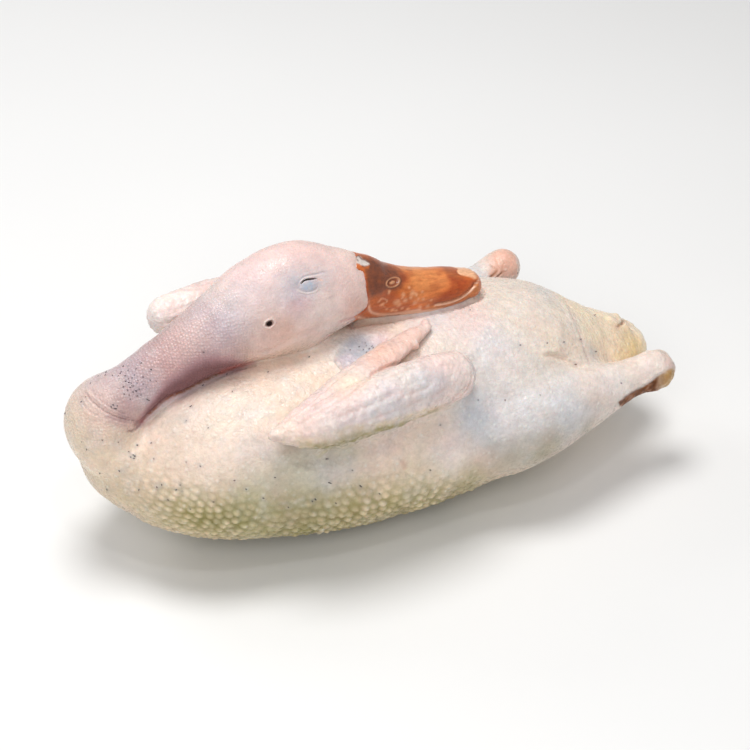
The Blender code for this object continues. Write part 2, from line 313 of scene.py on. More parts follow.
# The bill: the edge of its horn on the skin, from its top to the corner of the mouth, its mouth and folds
BILL_EDGE = [
    (354, 251), (356, 262), (357, 269), (363, 271.5), (365, 278), (366.5, 289), (367.7, 299), (366.5, 307),
    (361, 312), (354.5, 317),
]
MOUTH_LINE = [
    (434, 303.8), (442, 302.6), (450, 300.6), (457, 298), (463, 294.4), (470, 289), (475, 283.2),
    (477.8, 279.5),
]
BILL_FOLDS = {
    "mouth": (MOUTH_LINE, 0.6, 0.9, 0.4),
    "nail": ([(457, 270), (458, 273.5), (463, 276), (470, 278), (476, 279.5)], 0.45, 0.35, 0.1),
    "rim": ([(361, 315.8), (368, 316.8), (376, 316.2), (389, 315.2), (405, 313), (425, 310.5)],
        0.4, 0.4, 0.3),
    "over the mouth": ([(378, 309), (400, 308), (420, 304), (437, 299)], 1.0, 0.25, 0.1),
}
# The nostril's pixel, half axes and turn in degrees, and the middle of the nail at the bill's tip
NOSTRIL = ((392.2, 282.6), (4.0, 2.5), 18)
NAIL = (467, 273)

# The near wing: folds as in the skin, and the larger follicles of its lower edge, then of its face and hand:
# pixel, radius and height
WING_FOLDS = {
    "upper edge": ([(284, 424), (296, 414.5), (312, 401), (325, 391), (338, 379), (350, 369), (362, 363)],
        0.6, 0.45, 0.2),
    "hand over forearm": ([(352, 392), (360, 386), (368, 380), (374, 373), (386, 367.5), (398, 363)],
        0.9, 1.2, 0.4),
    "hand over forearm 2": ([(296, 426), (312, 417), (330, 406), (345, 397), (356, 389)], 1.2, 0.35, 0.2),
    "ridge": ([(338, 416), (352, 411.5), (366, 407), (378, 401.5), (390, 396), (402, 391)], 1.5, 0.28, 0.3),
    "wrinkle 1": ([(398, 400), (409, 394), (420, 391), (431, 384)], 1.3, 0.25, 0.2),
    "wrinkle 2": ([(406, 407), (419, 400), (433, 396), (444, 389)], 1.2, 0.22, 0.2),
    "wrinkle 3": ([(382, 380), (395, 375), (410, 368), (425, 364)], 1.2, 0.2, 0.12),
    "wrinkle 4": ([(356, 426), (369, 420), (382, 415.5), (394, 410)], 1.3, 0.22, 0.2),
    "elbow": ([(471, 372), (471.5, 380), (467, 389), (460, 397), (450, 404)], 0.7, 0.5, 0.45),
    "elbow 2": ([(452, 398), (461, 392), (467, 385)], 0.9, 0.3, 0.2),
    "elbow 3": ([(446, 404), (437, 408.5), (427, 412)], 0.8, 0.4, 0.3),
}
EDGE_QUILLS = [
    (283, 439, 2.6, 0.8), (292, 441, 2.4, 0.9), (301, 444, 2.8, 1.3), (311, 444.5, 2.4, 1.1),
    (321, 444.5, 2.6, 1.2), (331, 442, 2.3, 1.1), (340, 438.5, 2.3, 1), (349, 436, 2.4, 1.2),
    (359, 433.5, 2.2, 0.9), (369, 431, 2.5, 1.2), (380, 428.5, 2.4, 1.1), (391, 426, 2.2, 1.1),
    (402, 423, 2.5, 1.2), (413, 420, 2.2, 0.9), (424, 417, 2.3, 1.2), (436, 412.5, 2.1, 0.9),
    (447, 408, 2, 0.9), (335, 429, 2, 0.7), (347, 424.5, 2.2, 0.8), (360, 423, 1.9, 0.6),
    (372, 420.5, 2.1, 0.9), (385, 419.5, 2.1, 1), (398, 416, 2, 0.8), (411, 413, 2, 0.8),
    (424, 408, 1.9, 0.7), (317, 431, 2, 0.5), (302, 434, 2, 0.5),
]
FACE_QUILLS = [
    (431, 330, 1.7, 0.8), (424, 338, 1.8, 1.5), (416, 346.5, 1.8, 1.6), (409, 353.5, 1.8, 1.5),
    (402, 360, 1.8, 1.3), (352, 415, 1.6, 0.5), (362, 412, 1.6, 0.5), (373, 409, 1.6, 0.55),
    (385, 406, 1.6, 0.55), (397, 402, 1.6, 0.5), (408, 398, 1.6, 0.5), (343, 421, 1.6, 0.5),
    (420, 393, 1.5, 0.45), (432, 388, 1.5, 0.4), (366, 403, 1.5, 0.4), (379, 399, 1.5, 0.4),
]

# The eye: its pixel, and its socket and lid as ovals (pixel, half axes and turn in degrees), the lid's tint a
# little smaller than its relief. Then the lines of the slit and the rims, and their relief as in the folds.
EYE = (309.2, 286.4)
SOCKET = (EYE, (12, 8.5), 8)
LID = ((309.3, 286), (5.4, 3.5), 8)
TINTED_LID = ((309.3, 286), (5.0, 3.2), 8)
EYE_SLIT = [(300.8, 284.4), (303.8, 281), (307, 279.6), (311, 279), (315, 278.6), (317.6, 278.8)]
EYE_LOWER_RIM = [(297, 290), (303, 292.7), (309, 293.4), (316, 291.7), (321, 288)]
EYE_UPPER_RIM = [(299, 285), (303, 279.4), (308, 277), (315, 276.4), (322, 276)]
EYE_UPPER_FOLD = [(297, 284.5), (300, 280.5), (304, 277), (309, 275.2), (316, 274), (324, 272.3), (330, 272)]
EYE_FOLDS = [
    (EYE_SLIT, 0.5, 1.0, 0.15),
    (EYE_LOWER_RIM, 0.5, -0.16, -0.08),
    (EYE_UPPER_RIM, 0.5, -0.2, 0.0),
    (EYE_UPPER_FOLD, 0.6, 0.25, 0.1),
]
# The ear, and the red notch where the neck folds back, as ovals
EAR = ((269.6, 323.8), (2.5, 1.9), 35)
NOTCH = ((141.3, 421.5), (1.4, 1.0), -20)

# Lines round the eye: pixels, tint, half width and strength. The slate lines are painted shade in the fold
# over the eye and at the socket's left side.
EYE_LINES = [
    (EYE_LOWER_RIM, "white", 0.5, 0.45),
    (EYE_UPPER_RIM, "white", 0.45, 0.3),
    (EYE_UPPER_FOLD, "slate", 0.45, 0.3),
    ([(298, 282), (294, 286), (292, 291)], "slate", 1.2, 0.2),
    ([(318, 279), (322, 280.5)], "coral", 0.6, 0.5),
]
# Specks of the head: pixel, radius, tint and strength
HEAD_SPECKS = [
    (299.2, 300, 0.7, "plum", 0.55), (290, 302, 0.5, "slate", 0.6), (293, 302, 0.45, "plum", 0.6),
    (297.3, 306, 0.5, "red", 0.55), (305.5, 298, 0.45, "mauve", 0.5), (309.6, 300.6, 0.45, "mauve", 0.5),
    (312, 297.6, 0.4, "mauve", 0.5), (282, 303, 0.7, "slate", 0.4), (293.5, 278.5, 0.9, "slate", 0.4),
    (289, 285, 0.9, "slate", 0.25), (294, 292, 1.1, "lilac", 0.6), (294, 308, 3, "rose", 0.35),
    (301, 303, 1, "lilac", 0.5), (321, 272, 1.5, "lilac", 0.4), (333, 268, 1.5, "slate", 0.15),
    (266, 312, 0.5, "mauve", 0.4), (279, 317, 0.5, "mauve", 0.4), (288, 323, 0.5, "plum", 0.3),
    (313, 318, 0.5, "mauve", 0.35), (331, 297, 0.6, "mauve", 0.3), (252, 336, 0.5, "mauve", 0.4),
    (262, 290, 0.5, "mauve", 0.3), (275, 276, 0.5, "lilac", 0.5), (244, 318, 0.6, "mauve", 0.35),
]

# Folds of the skin with a tint, and its strength. The plum and wine of the neck folds and of the crease
# under them, and the olive of the shoulder fold, are painted shade in these creases.
FOLD_TINTS = {
    "thigh": ("peach", 0.4), "armpit edge": ("plum", 0.25), "mouth": ("rose", 0.6),
    "neck fold 1": ("wine", 0.5), "neck fold 2": ("plum", 0.4), "neck fold 3": ("plum", 0.15),
    "neck fold 4": ("plum", 0.35), "neck fold 5": ("plum", 0.2), "neck fold 6": ("plum", 0.4),
    "under the crease": ("wine", 0.7), "shoulder fold": ("olive", 0.6), "tail": ("plum", 0.3),
    "tail 2": ("mauve", 0.15), "tail 3": ("mauve", 0.12), "oil gland": ("rust", 0.6),
    "hock edge": ("pearl", 0.5),
}

# Colours, linear. Most are the skin's own colour, without the light on it. Some also serve as painted shade:
# olive, moss and taupe low on the body and under and along the wing, straw below the wing's quills and, in
# part, low on the body, plum, wine, dusk, lilac and brown under the neck and in its folds, slate round the
# eye, and dark in the ear and the eye's slit.
TINTS = {
    "cream": (0.8, 0.67, 0.56), "peach": (0.82, 0.64, 0.51), "white": (0.8, 0.72, 0.66),
    "yellow": (0.76, 0.6, 0.4), "straw": (0.7, 0.56, 0.34), "olive": (0.56, 0.5, 0.28),
    "green grey": (0.55, 0.53, 0.43), "blue grey": (0.55, 0.57, 0.62), "pale blue": (0.68, 0.68, 0.71),
    "pink": (0.8, 0.58, 0.56), "rose": (0.74, 0.4, 0.38), "salmon": (0.82, 0.49, 0.38),
    "lilac": (0.62, 0.51, 0.58), "plum": (0.48, 0.28, 0.3), "red": (0.55, 0.12, 0.12),
    "brown": (0.27, 0.075, 0.004), "rust": (0.5, 0.22, 0.12), "tan": (0.66, 0.4, 0.12),
    "mauve": (0.46, 0.32, 0.34), "moss": (0.31, 0.27, 0.1), "taupe": (0.36, 0.32, 0.24),
    "amber": (0.88, 0.64, 0.3), "slate": (0.34, 0.36, 0.43), "butter": (0.95, 0.79, 0.58),
    "pearl": (0.94, 0.85, 0.82), "coral": (0.92, 0.56, 0.44), "rosy": (0.9, 0.68, 0.62),
    "wine": (0.24, 0.1, 0.11), "dusk": (0.19, 0.085, 0.088), "lid": (0.4, 0.49, 0.62),
    "sky": (0.6, 0.66, 0.75), "dark": (0.035, 0.02, 0.018),
}
BODY_TONE = "cream"

# Tinted places of the skin, by their tint: pixel, radius and strength. The olive, moss, taupe and plum
# places are painted shade.
SKIN_PLACES = {
    "butter": [
        (75, 440, 16, 4), (85, 455, 16, 3), (588, 322, 15, 6), (602, 330, 10, 2), (612, 345, 11, 1.6),
        (616, 349, 7, 1), (600, 351, 7, 2), (400, 474, 12, 2), (555, 345, 8, 0.8),
    ],
    "yellow": [(110, 480, 20, 1.6), (480, 470, 16, 1.4), (619, 334, 8, 4)],
    "peach": [
        (125, 465, 14, 1.6), (175, 475, 14, 1.2), (270, 385, 16, 1.6), (310, 372, 14, 1.8),
        (572, 340, 8, 1.6), (625, 322, 6, 1.6), (635, 368, 9, 1.4), (655, 352, 8, 1.6), (90, 400, 14, 1.6),
        (97, 428, 14, 2.4), (92, 455, 12, 2), (118, 440, 12, 1.6),
    ],
    "straw": [
        (150, 500, 20, 2), (200, 515, 18, 2.4), (340, 508, 18, 2.2), (390, 500, 18, 2), (430, 490, 16, 1.8),
    ],
    # Painted shade on the lowest part of the flank
    "olive": [(250, 512, 18, 2.4), (290, 518, 18, 2.6)],
    "green grey": [
        (540, 445, 14, 1), (275, 480, 14, 1.8), (310, 478, 14, 1.8), (250, 476, 10, 1), (345, 460, 12, 1.2),
    ],
    "cream": [
        (170, 470, 20, 1.2), (180, 440, 16, 1.4), (220, 440, 16, 1.6), (230, 405, 20, 1.4),
        (400, 475, 14, 1.2), (430, 440, 12, 1), (520, 320, 16, 1.2), (550, 340, 12, 1.8),
    ],
    "pink": [
        (250, 455, 12, 0.9), (390, 450, 14, 1), (382, 337, 6, 1.6), (470, 325, 13, 1.6), (190, 352, 12, 1.4),
        (178, 345, 10, 1), (245, 272, 10, 1.2), (285, 252, 14, 1.8), (320, 258, 12, 1.4),
        (345, 285, 12, 0.8), (340, 305, 9, 1), (270, 345, 10, 1), (310, 332, 9, 1.2), (93, 410, 9, 3),
    ],
    "pale blue": [
        (480, 420, 12, 2), (490, 435, 10, 1.4), (430, 312, 14, 1), (490, 350, 14, 1.4), (525, 410, 16, 1.6),
        (560, 410, 14, 1.8), (575, 425, 10, 1.2), (570, 378, 5, 1.2), (590, 405, 8, 1.4),
        (535, 425, 10, 1.2),
    ],
    "blue grey": [
        (358, 350, 9, 3), (368, 344, 7, 2.4), (350, 357, 6, 2.4), (538, 341, 4, 1), (562, 342, 3.5, 1),
        (592, 350, 4, 0.8), (545, 372, 4, 0.5), (296, 272, 8, 1.3), (322, 276, 7, 1.3), (309, 287, 4.5, 3),
        (297, 282, 4, 1.2), (318, 284, 4, 0.8), (291, 288, 6, 1.4), (332, 475, 11, 2),
    ],
    "white": [
        (330, 358, 7, 2), (455, 345, 13, 1.2), (520, 380, 14, 1.2), (590, 395, 10, 1), (574, 318, 8, 1.6),
        (100, 378, 12, 1.2), (216, 296, 10, 0.8), (520, 310, 14, 1.2), (548, 372, 10, 1.2),
    ],
    "amber": [(621, 354, 5, 2.4), (634, 349, 8, 5)],
    "salmon": [
        (605, 358, 8, 0.7), (671, 363, 5, 3), (505, 260, 9, 4), (350, 308, 5, 1.6), (282, 330, 7, 1.6),
    ],
    "tan": [(666, 355, 4, 0.8)],
    "rust": [(500, 269, 4.5, 3.6)],
    "lilac": [
        (120, 368, 12, 1.4), (140, 372, 12, 1.6), (150, 395, 10, 1.6), (205, 318, 12, 1.6),
        (228, 325, 10, 1.4), (215, 345, 9, 1.2), (245, 285, 15, 0.9), (300, 300, 9, 1.6), (100, 376, 9, 2.4),
        (350, 357, 4, 2), (294, 290, 6, 1),
    ],
    "rose": [(168, 368, 11, 3.4), (182, 356, 8, 1.4), (142, 419, 5, 1.6), (303, 304, 4, 1)],
    # Painted shade on the neck's underside and in the corner of its folds
    "plum": [
        (205, 372, 9, 2.4), (180, 388, 8, 2), (232, 362, 8, 2.2), (168, 374, 11, 1.2), (125, 408, 7, 3.6),
    ],
    "red": [(238, 368, 2.6, 2.2)],
    "pearl": [
        (338, 312, 8, 1.4), (450, 457, 11, 3), (620, 381, 7, 4), (640, 370, 7, 2), (600, 385, 8, 1.2),
        (655, 357, 7, 2), (325, 326, 11, 3), (314, 338, 8, 3.4), (332, 312, 8, 1.4),
    ],
    "coral": [(315, 336, 8, 1)],
    "mauve": [
        (136, 386, 11, 2), (195, 345, 12, 1.6), (172, 352, 12, 1.2), (215, 350, 10, 1), (115, 372, 10, 0.7),
        (103, 389, 9, 3), (112, 413, 8, 2.4),
    ],
    "rosy": [
        (181, 350, 9, 3), (192, 338, 10, 1.8), (150, 371, 7, 1.6), (150, 470, 16, 1.4), (205, 462, 14, 0.8),
        (470, 318, 10, 1.4), (415, 320, 8, 0.8), (335, 310, 8, 2.2), (310, 335, 8, 2), (265, 350, 8, 1),
    ],
    # Painted shade along the bottom of the flank, under the thigh and under the wing
    "moss": [
        (290, 520, 15, 6.5), (245, 518, 14, 2), (200, 520, 12, 1), (340, 514, 13, 1.6), (395, 506, 12, 0.9),
        (450, 494, 12, 0.9), (545, 450, 8, 1.6), (470, 481, 10, 2.4), (345, 447, 8, 0.8),
    ],
    # Painted shade under the wing and low on the thigh
    "taupe": [
        (500, 464, 10, 3), (500, 448, 8, 1.8), (545, 446, 11, 6), (585, 428, 6, 2), (300, 453, 8, 2.6),
        (330, 450, 6, 1.6), (286, 446, 5, 1.6), (385, 434, 7, 0.8),
    ],
    "sky": [
        (478, 416, 11, 2.6), (496, 432, 10, 0.8), (495, 345, 14, 0.7), (430, 315, 13, 0.6),
        (562, 408, 12, 0.7), (520, 400, 10, 0.4), (357, 350, 8, 1.6),
    ],
    "slate": [
        (505, 440, 12, 0.6), (560, 418, 10, 0.4), (358, 350, 5, 1.6), (366, 345, 4, 1.4), (300, 284, 6, 0.5),
    ],
}
# Tinted areas of the skin with a plain edge: outline, tint, strength and width of the edge
SKIN_PATCHES = [
    # The armpit's blue grey and slate: partly its own bluish skin, partly painted shade in the hollow
    (ARMPIT, "blue grey", 0.6, 6.0),
    ([(343, 352), (349, 342), (357, 337), (366, 339), (372, 345), (366, 353), (356, 360), (346, 360)],
     "slate", 0.6, 6),
    ([(337, 361), (342, 355), (352, 355), (358, 360), (347, 370)], "lilac", 0.6, 3),
    ([(371, 338), (384, 337), (386, 341), (379, 346), (372, 345)], "rose", 0.3, 3),
    # Painted shade in the corner where the neck folds back
    ([(106, 417), (120, 414), (134, 414), (145, 412), (142, 421), (131, 430), (116, 426)], "plum", 0.5, 5),
    ([(155, 315), (160, 308), (172, 304), (187, 303), (192, 307), (182, 312), (168, 314)], "rose", 0.5, 3),
    ([(399, 461), (402, 459), (406, 464), (405, 470), (402, 468)], "rust", 0.5, 1.2),
]

# Colours of the horn of the bill, and where they are, as on the skin. Some deep, brown and dark stand for
# painted shade over the mouth and at the nostrils.
HORN_TINTS = {
    "orange": (0.62, 0.15, 0.028), "light": (0.72, 0.27, 0.085), "pale": (0.86, 0.47, 0.27),
    "rim": (0.95, 0.6, 0.42), "brown": (0.26, 0.062, 0.02), "dark": (0.15, 0.046, 0.024),
    "deep": (0.36, 0.055, 0.01), "mottle": (0.84, 0.43, 0.23), "tan": (0.62, 0.2, 0.042),
    "white": (0.72, 0.64, 0.6),
}
BILL_PLACES = {
    "orange": [(374, 302, 6, 1.5)],
    "deep": [(385, 298, 5, 1.4), (400, 310, 5, 0.9), (436, 298, 6, 1.2), (376, 308, 5, 1)],
    "light": [(415, 276, 8, 2.4), (432, 277, 8, 2.4), (424, 286, 7, 1.6), (412, 269, 5, 1.2)],
}
BILL_PATCHES = [
    ([(361, 256), (370, 257.5), (380, 262), (391, 266), (399, 270), (405, 276), (403, 284), (395, 291),
      (386, 290), (378, 295), (369, 296), (366.5, 285), (365, 275), (364, 268)], "dark", 0.85, 4),
    ([(368, 261), (384, 265), (382, 272), (378, 280), (381, 290), (372, 292), (369, 280), (367, 268)],
     "dark", 0.5, 4),
    ([(398, 271), (408, 275), (410, 282), (402, 284)], "deep", 0.55, 3),
    # Painted shadow over the mouth line at the bill's tip
    ([(447, 275), (456, 277), (468, 279), (476, 281.5), (471, 287), (461, 294), (448, 299.5), (437, 302),
      (442, 294), (450, 287)], "deep", 0.8, 4),
    ([(442, 266.5), (456, 265.5), (458, 272), (463, 277), (455, 278.5), (447, 276)], "brown", 0.55, 4),
    ([(437, 303.8), (450, 301), (463, 295), (471, 288.5), (477, 282), (479, 289), (472, 299), (462, 305),
      (450, 311), (437, 315), (424, 316), (424, 309)], "tan", 0.7, 1.5),
    ([(457, 271), (459, 268), (464, 266), (470, 267.5), (474, 272.5), (477, 279.5), (470, 277.6),
      (462, 275.6), (458, 273.6)], "pale", 1, 0.8),
    ([(355.5, 257.5), (359.5, 256.5), (362, 259.5), (366, 260.5), (369.5, 264), (366, 266.5), (362.5, 266),
      (357, 263.5)], "white", 1, 0.7),
]
# Lines on the bill: pixels, tint, half width and strength
BILL_LINES = [
    ([(356.5, 315.6), (362, 317.6), (372, 317.9), (385, 316.5), (400, 314.4), (415, 312.2), (430, 310.5),
      (442, 309)], "rim", 1, 1),
    ([(367.3, 299), (368.2, 306), (370, 310.5), (374, 313), (382, 314), (395, 313.4), (407, 311.6),
      (420, 309.4)], "rim", 0.85, 0.8),
    ([(360, 315.4), (366, 316.8), (374, 316.2), (385, 315.7), (400, 313.9)], "deep", 0.3, 0.6),
    ([(435, 304.8), (443, 303.6), (451, 301.6), (458, 299), (464, 295.4), (471, 290), (475.8, 284.2),
      (478, 280.6)], "rim", 0.4, 0.95),
    # Painted shadow along the top of the mouth line
    ([(434, 302.5), (442, 301.2), (450, 299), (457, 296.3), (463, 292.6), (470, 287), (474.5, 282)],
     "brown", 1, 0.6),
    ([(438, 311.5), (448, 308.8), (456, 305.5), (463, 301.8), (469, 298)], "dark", 0.7, 0.7),
    ([(365, 279), (366.5, 290), (368, 300), (366, 308), (357, 315.5)], "deep", 0.7, 0.7),
    ([(377.8, 301.8), (380, 299), (384, 298.4), (386.5, 300.5), (386, 302.5)], "mottle", 0.42, 0.7),
    ([(379.5, 305.5), (382, 304.5), (384, 306)], "mottle", 0.4, 0.45),
    ([(356, 257.8), (358.5, 256.6), (361, 259.5), (364.5, 260.3), (368, 262), (369.8, 264.5)],
     "dark", 0.4, 0.9),
    ([(361.5, 265.8), (364, 266.8), (367, 266)], "dark", 0.35, 0.8),
    ([(356.5, 259.3), (357.8, 261.5)], "dark", 0.35, 0.7),
    ([(357, 268.3), (362, 269), (368, 267)], "orange", 0.8, 0.8),
    ([(405, 290), (420, 292), (437, 290)], "deep", 0.8, 0.3),
    ([(456, 289), (459, 291), (457.5, 293)], "brown", 0.4, 0.5),
    ([(399, 268.5), (415, 269.5), (440, 266.3)], "mottle", 0.5, 0.5),
]
# Pale mottles of the bill: pixel and radius
MOTTLES = [
    (395.5, 302.5, 1.5), (399, 304.5, 1.4), (398, 301, 1.1), (403, 294.5, 1.1), (405, 300.5, 1.3),
    (407.5, 309, 1.2), (412.5, 293, 1.5), (416, 294.5, 1.1), (414.5, 303, 1.4), (410.5, 297.5, 1),
    (420, 306.5, 1.1), (427.5, 306, 1.2), (392.5, 309.5, 1.3), (396, 310, 1), (431, 300, 0.8),
    (423, 299, 0.8), (383, 303.5, 0.9), (418, 299, 0.8), (402, 308, 0.9), (381.5, 304.5, 0.8),
    (386.5, 309, 0.8), (388.5, 291.5, 1.1), (409, 287.5, 0.7), (422, 292, 0.8), (434, 306, 0.8),
    (412, 310.5, 0.8), (402, 297.5, 0.7),
]

# Colours of the near wing, which the far one repeats, and of the part of the far wing that shows
WING_PLACES = {
    "peach": [(285, 431, 8, 1.6), (340, 398, 7, 1.2)],
    "pink": [(320, 405, 9, 1.6), (345, 405, 9, 1.4)],
    "rosy": [
        (308, 424, 8, 1.6), (428, 326, 5, 2), (430, 362, 7, 1.2), (446, 362, 7, 1.6), (462, 372, 7, 1.6),
        (460, 388, 6, 2),
    ],
    "butter": [(350, 385, 8, 1.4)],
    "coral": [
        (385, 352, 8, 2.4), (378, 362, 6, 1.6), (410, 340, 7, 1.4), (420, 333, 4, 1), (462, 378, 4, 1),
    ],
    "white": [(400, 370, 10, 1.6), (330, 424, 7, 1.4)],
    "pale blue": [(425, 381, 9, 2.2), (395, 402, 8, 1.8), (376, 411, 7, 2), (350, 420, 8, 1.2)],
    "lilac": [(392, 392, 5, 1), (440, 376, 7, 0.8)],
    "pearl": [(466, 375, 6, 3), (462, 379, 7, 4)],
    "rust": [(467, 384, 3, 0.5)],
}
WING_PATCHES = [
    ([(296, 437), (312, 438), (330, 434), (345, 428), (360, 424), (375, 422.5), (390, 419.5), (405, 415),
      (420, 411), (436, 406), (446, 405), (430, 418), (405, 425), (385, 431), (365, 436), (345, 441),
      (330, 447), (306, 449), (296, 444)], "straw", 0.6, 4),
    # The taupe and moss patches are painted shade along the forearm's lower edge
    ([(298, 447), (325, 443), (345, 437.5), (365, 431.5), (390, 426), (415, 420), (440, 411), (440, 420),
      (405, 432), (365, 442), (335, 452), (300, 452)], "taupe", 0.7, 2.4),
    ([(300, 443), (320, 442), (340, 436), (365, 429.5), (390, 424.5), (415, 418), (440, 409), (440, 418),
      (405, 430), (365, 440), (335, 450), (300, 450)], "moss", 0.7, 3.2),
]
FAR_WING_PLACES = {
    "pearl": [(158, 318, 12, 6), (185, 298, 8, 2), (170, 329, 8, 6)],
    "rose": [(172, 309, 5, 1.6)],
}


def clamp(value, low, high):
    return np.minimum(np.maximum(value, low), high)


def eased(t):
    """A share from 0 to 1 with a soft start and end."""
    return t * t * (3 - 2 * t)


def bell(distance):
    """1 at no distance, and nearly nothing from twice the unit on."""
    return np.exp(-(distance**2))


def camera_axes():
    """The photograph's camera: where it stands, its backward, right and up directions."""
    azimuth, elevation = math.radians(AZIMUTH), math.radians(ELEVATION)
    back = np.array([math.sin(azimuth) * math.cos(elevation), -math.cos(azimuth) * math.cos(elevation),
                     math.sin(elevation)])
    right = np.array([math.cos(azimuth), math.sin(azimuth), 0.0])
    return np.array(LOOK_AT) + DISTANCE * back, back, right, np.cross(back, right)


EYE_POINT, BACK, RIGHT, UP = camera_axes()


def pixels_of(points):
    """Where points show in the photograph: how far across and down, in pixels."""
    offset = points - EYE_POINT
    depth = -offset @ BACK
    across = PHOTO_SIZE / 2 + FOCAL_PIXELS * (offset @ RIGHT) / depth
    return across, PHOTO_SIZE / 2 - FOCAL_PIXELS * (offset @ UP) / depth


class Carrier:
    """A surface that details are cast onto, from the photograph's camera."""

    def __init__(self, obj):
        self.tree = BVHTree.FromObject(obj, bpy.context.evaluated_depsgraph_get())

    def seen_at(self, pixel):
        """The point and the normal that show at a pixel of the photograph."""
        direction = -BACK + RIGHT * (pixel[0] - PHOTO_SIZE / 2) / FOCAL_PIXELS
        direction = direction + UP * (PHOTO_SIZE / 2 - pixel[1]) / FOCAL_PIXELS
        point, normal, _, _ = self.tree.ray_cast(Vector(EYE_POINT), Vector(direction).normalized())
        if point is None:
            across = EYE_POINT + direction * DISTANCE
            point, normal, _, _ = self.tree.find_nearest(Vector(across))
        return np.array(point), np.array(normal)

    def line(self, pixels, steps=6):
        """Points along a smooth line through pixels, on the surface."""
        return np.array([self.seen_at(pixel)[0] for pixel in smooth_rows(pixels, steps)])


def smooth_rows(stations, steps):
    """Rows on a Catmull-Rom curve through the stations, with steps rows from each one to the next."""
    rows = np.array(stations, float)
    before = 2 * rows[:1] - rows[1:2]
    after = 2 * rows[-1:] - rows[-2:-1]
    padded = np.concatenate([before, rows, after])
    made = []
    for i in range(1, len(padded) - 2):
        p0, p1, p2, p3 = padded[i - 1 : i + 3]
        for t in np.arange(steps) / steps:
            bend = (2 * p0 - 5 * p1 + 4 * p2 - p3) * t**2 + (3 * p1 - p0 - 3 * p2 + p3) * t**3
            made.append(0.5 * (2 * p1 + (p2 - p0) * t + bend))
    made.append(rows[-1])
    return np.array(made)


def domed_ends(rows, tangents):
    """The rows with a dome of shrinking rings added beyond each end."""
    domes = []
    for end, outwards in ((0, -1), (-1, 1)):
        reach = min(rows[end, 3], rows[end, 4])
        dome = []
        for angle in np.radians([15, 30, 45, 58, 70, 80, 87]):
            ring = rows[end].copy()
            ring[:3] += outwards * tangents[end] * reach * math.sin(angle)
            ring[3:] *= math.cos(angle)
            dome.append((ring, tangents[end]))
        domes.append(dome)
    return domes[0][::-1] + list(zip(rows, tangents)) + domes[1]


def tube_faces(rings, sides):
    """Faces of a closed tube whose points are listed ring by ring."""
    faces = [tuple(range(sides))]
    for i in range(rings - 1):
        for k in range(sides):
            following = (k + 1) % sides
            here, beyond = i * sides, (i + 1) * sides
            faces.append((here + k, beyond + k, beyond + following, here + following))
    faces.append(tuple((rings - 1) * sides + k for k in range(sides - 1, -1, -1)))
    return faces


def lofted_rings(stations, up, steps, sides):
    """Rings of points of a tube lofted through elliptical stations, with domed ends."""
    rows = smooth_rows(stations, steps)
    tangents = np.gradient(rows[:, :3], axis=0)
    tangents /= np.linalg.norm(tangents, axis=1)[:, None]
    turns = np.linspace(0, 2 * math.pi, sides, endpoint=False)[:, None]
    rings = []
    for row, tangent in domed_ends(rows, tangents):
        rise = np.array(up) - np.dot(up, tangent) * tangent
        rise /= np.linalg.norm(rise)
        side = np.cross(tangent, rise)
        rings.append(row[:3] + side * row[3] * np.cos(turns) + rise * row[4] * np.sin(turns))
    return np.array(rings)


def limb(stations, up):
    """A limb's mesh, lofted through its stations."""
    rings = lofted_rings(stations, up, STEPS_BETWEEN_STATIONS, SECTION_SIDES)
    return new_mesh("limb", rings.reshape(-1, 3), tube_faces(len(rings), SECTION_SIDES))


def new_mesh(name, points, faces):
    mesh = bpy.data.meshes.new(name)
    mesh.from_pydata([tuple(point) for point in points], [], faces)
    return mesh


def new_object(name, data):
    obj = bpy.data.objects.new(name, data)
    bpy.context.scene.collection.objects.link(obj)
    return obj


def points_of(obj):
    points = np.empty(len(obj.data.vertices) * 3, np.float32)
    obj.data.vertices.foreach_get("co", points)
    return points.reshape(-1, 3).astype(float)


def normals_of(obj):
    normals = np.empty(len(obj.data.vertices) * 3, np.float32)
    obj.data.vertex_normals.foreach_get("vector", normals)
    return normals.reshape(-1, 3).astype(float)


def move_points(obj, points):
    obj.data.vertices.foreach_set("co", points.astype(np.float32).ravel())
    obj.data.update()


def raise_points(obj, rise):
    """Moves each point along its normal."""
    move_points(obj, points_of(obj) + normals_of(obj) * rise[:, None])


def apply_modifiers(obj):
    """Replaces an object's mesh by what its modifiers make of it."""
    graph = bpy.context.evaluated_depsgraph_get()
    mesh = bpy.data.meshes.new_from_object(obj.evaluated_get(graph))
    obj.modifiers.clear()
    obj.data = mesh


def fused(name, meshes, voxel, softness):
    """The meshes as one closed skin, its inner corners rounded over about softness millimetres."""
    shape = bmesh.new()
    for mesh in meshes:
        shape.from_mesh(mesh)
    whole = bpy.data.meshes.new(name)
    shape.to_mesh(whole)
    shape.free()
    obj = new_object(name, whole)
    remesh = obj.modifiers.new("Remesh", "REMESH")
    remesh.mode = "VOXEL"
    remesh.voxel_size = voxel
    smooth = obj.modifiers.new("Smooth", "SMOOTH")
    smooth.factor = SMOOTH_FACTOR
    smooth.iterations = round(2 * (softness / voxel) ** 2 / SMOOTH_FACTOR)
    apply_modifiers(obj)
    return obj


def refine(obj, places):
    """Splits the faces near each place (a point and a radius) into four, to carry finer details."""
    shape = bmesh.new()
    shape.from_mesh(obj.data)
    for point, radius in places:
        centre = Vector(point)
        near = [e for e in shape.edges if (e.verts[0].co - centre).length < radius]
        bmesh.ops.subdivide_edges(shape, edges=near, cuts=1, use_grid_fill=True)
    shape.to_mesh(obj.data)
    shape.free()


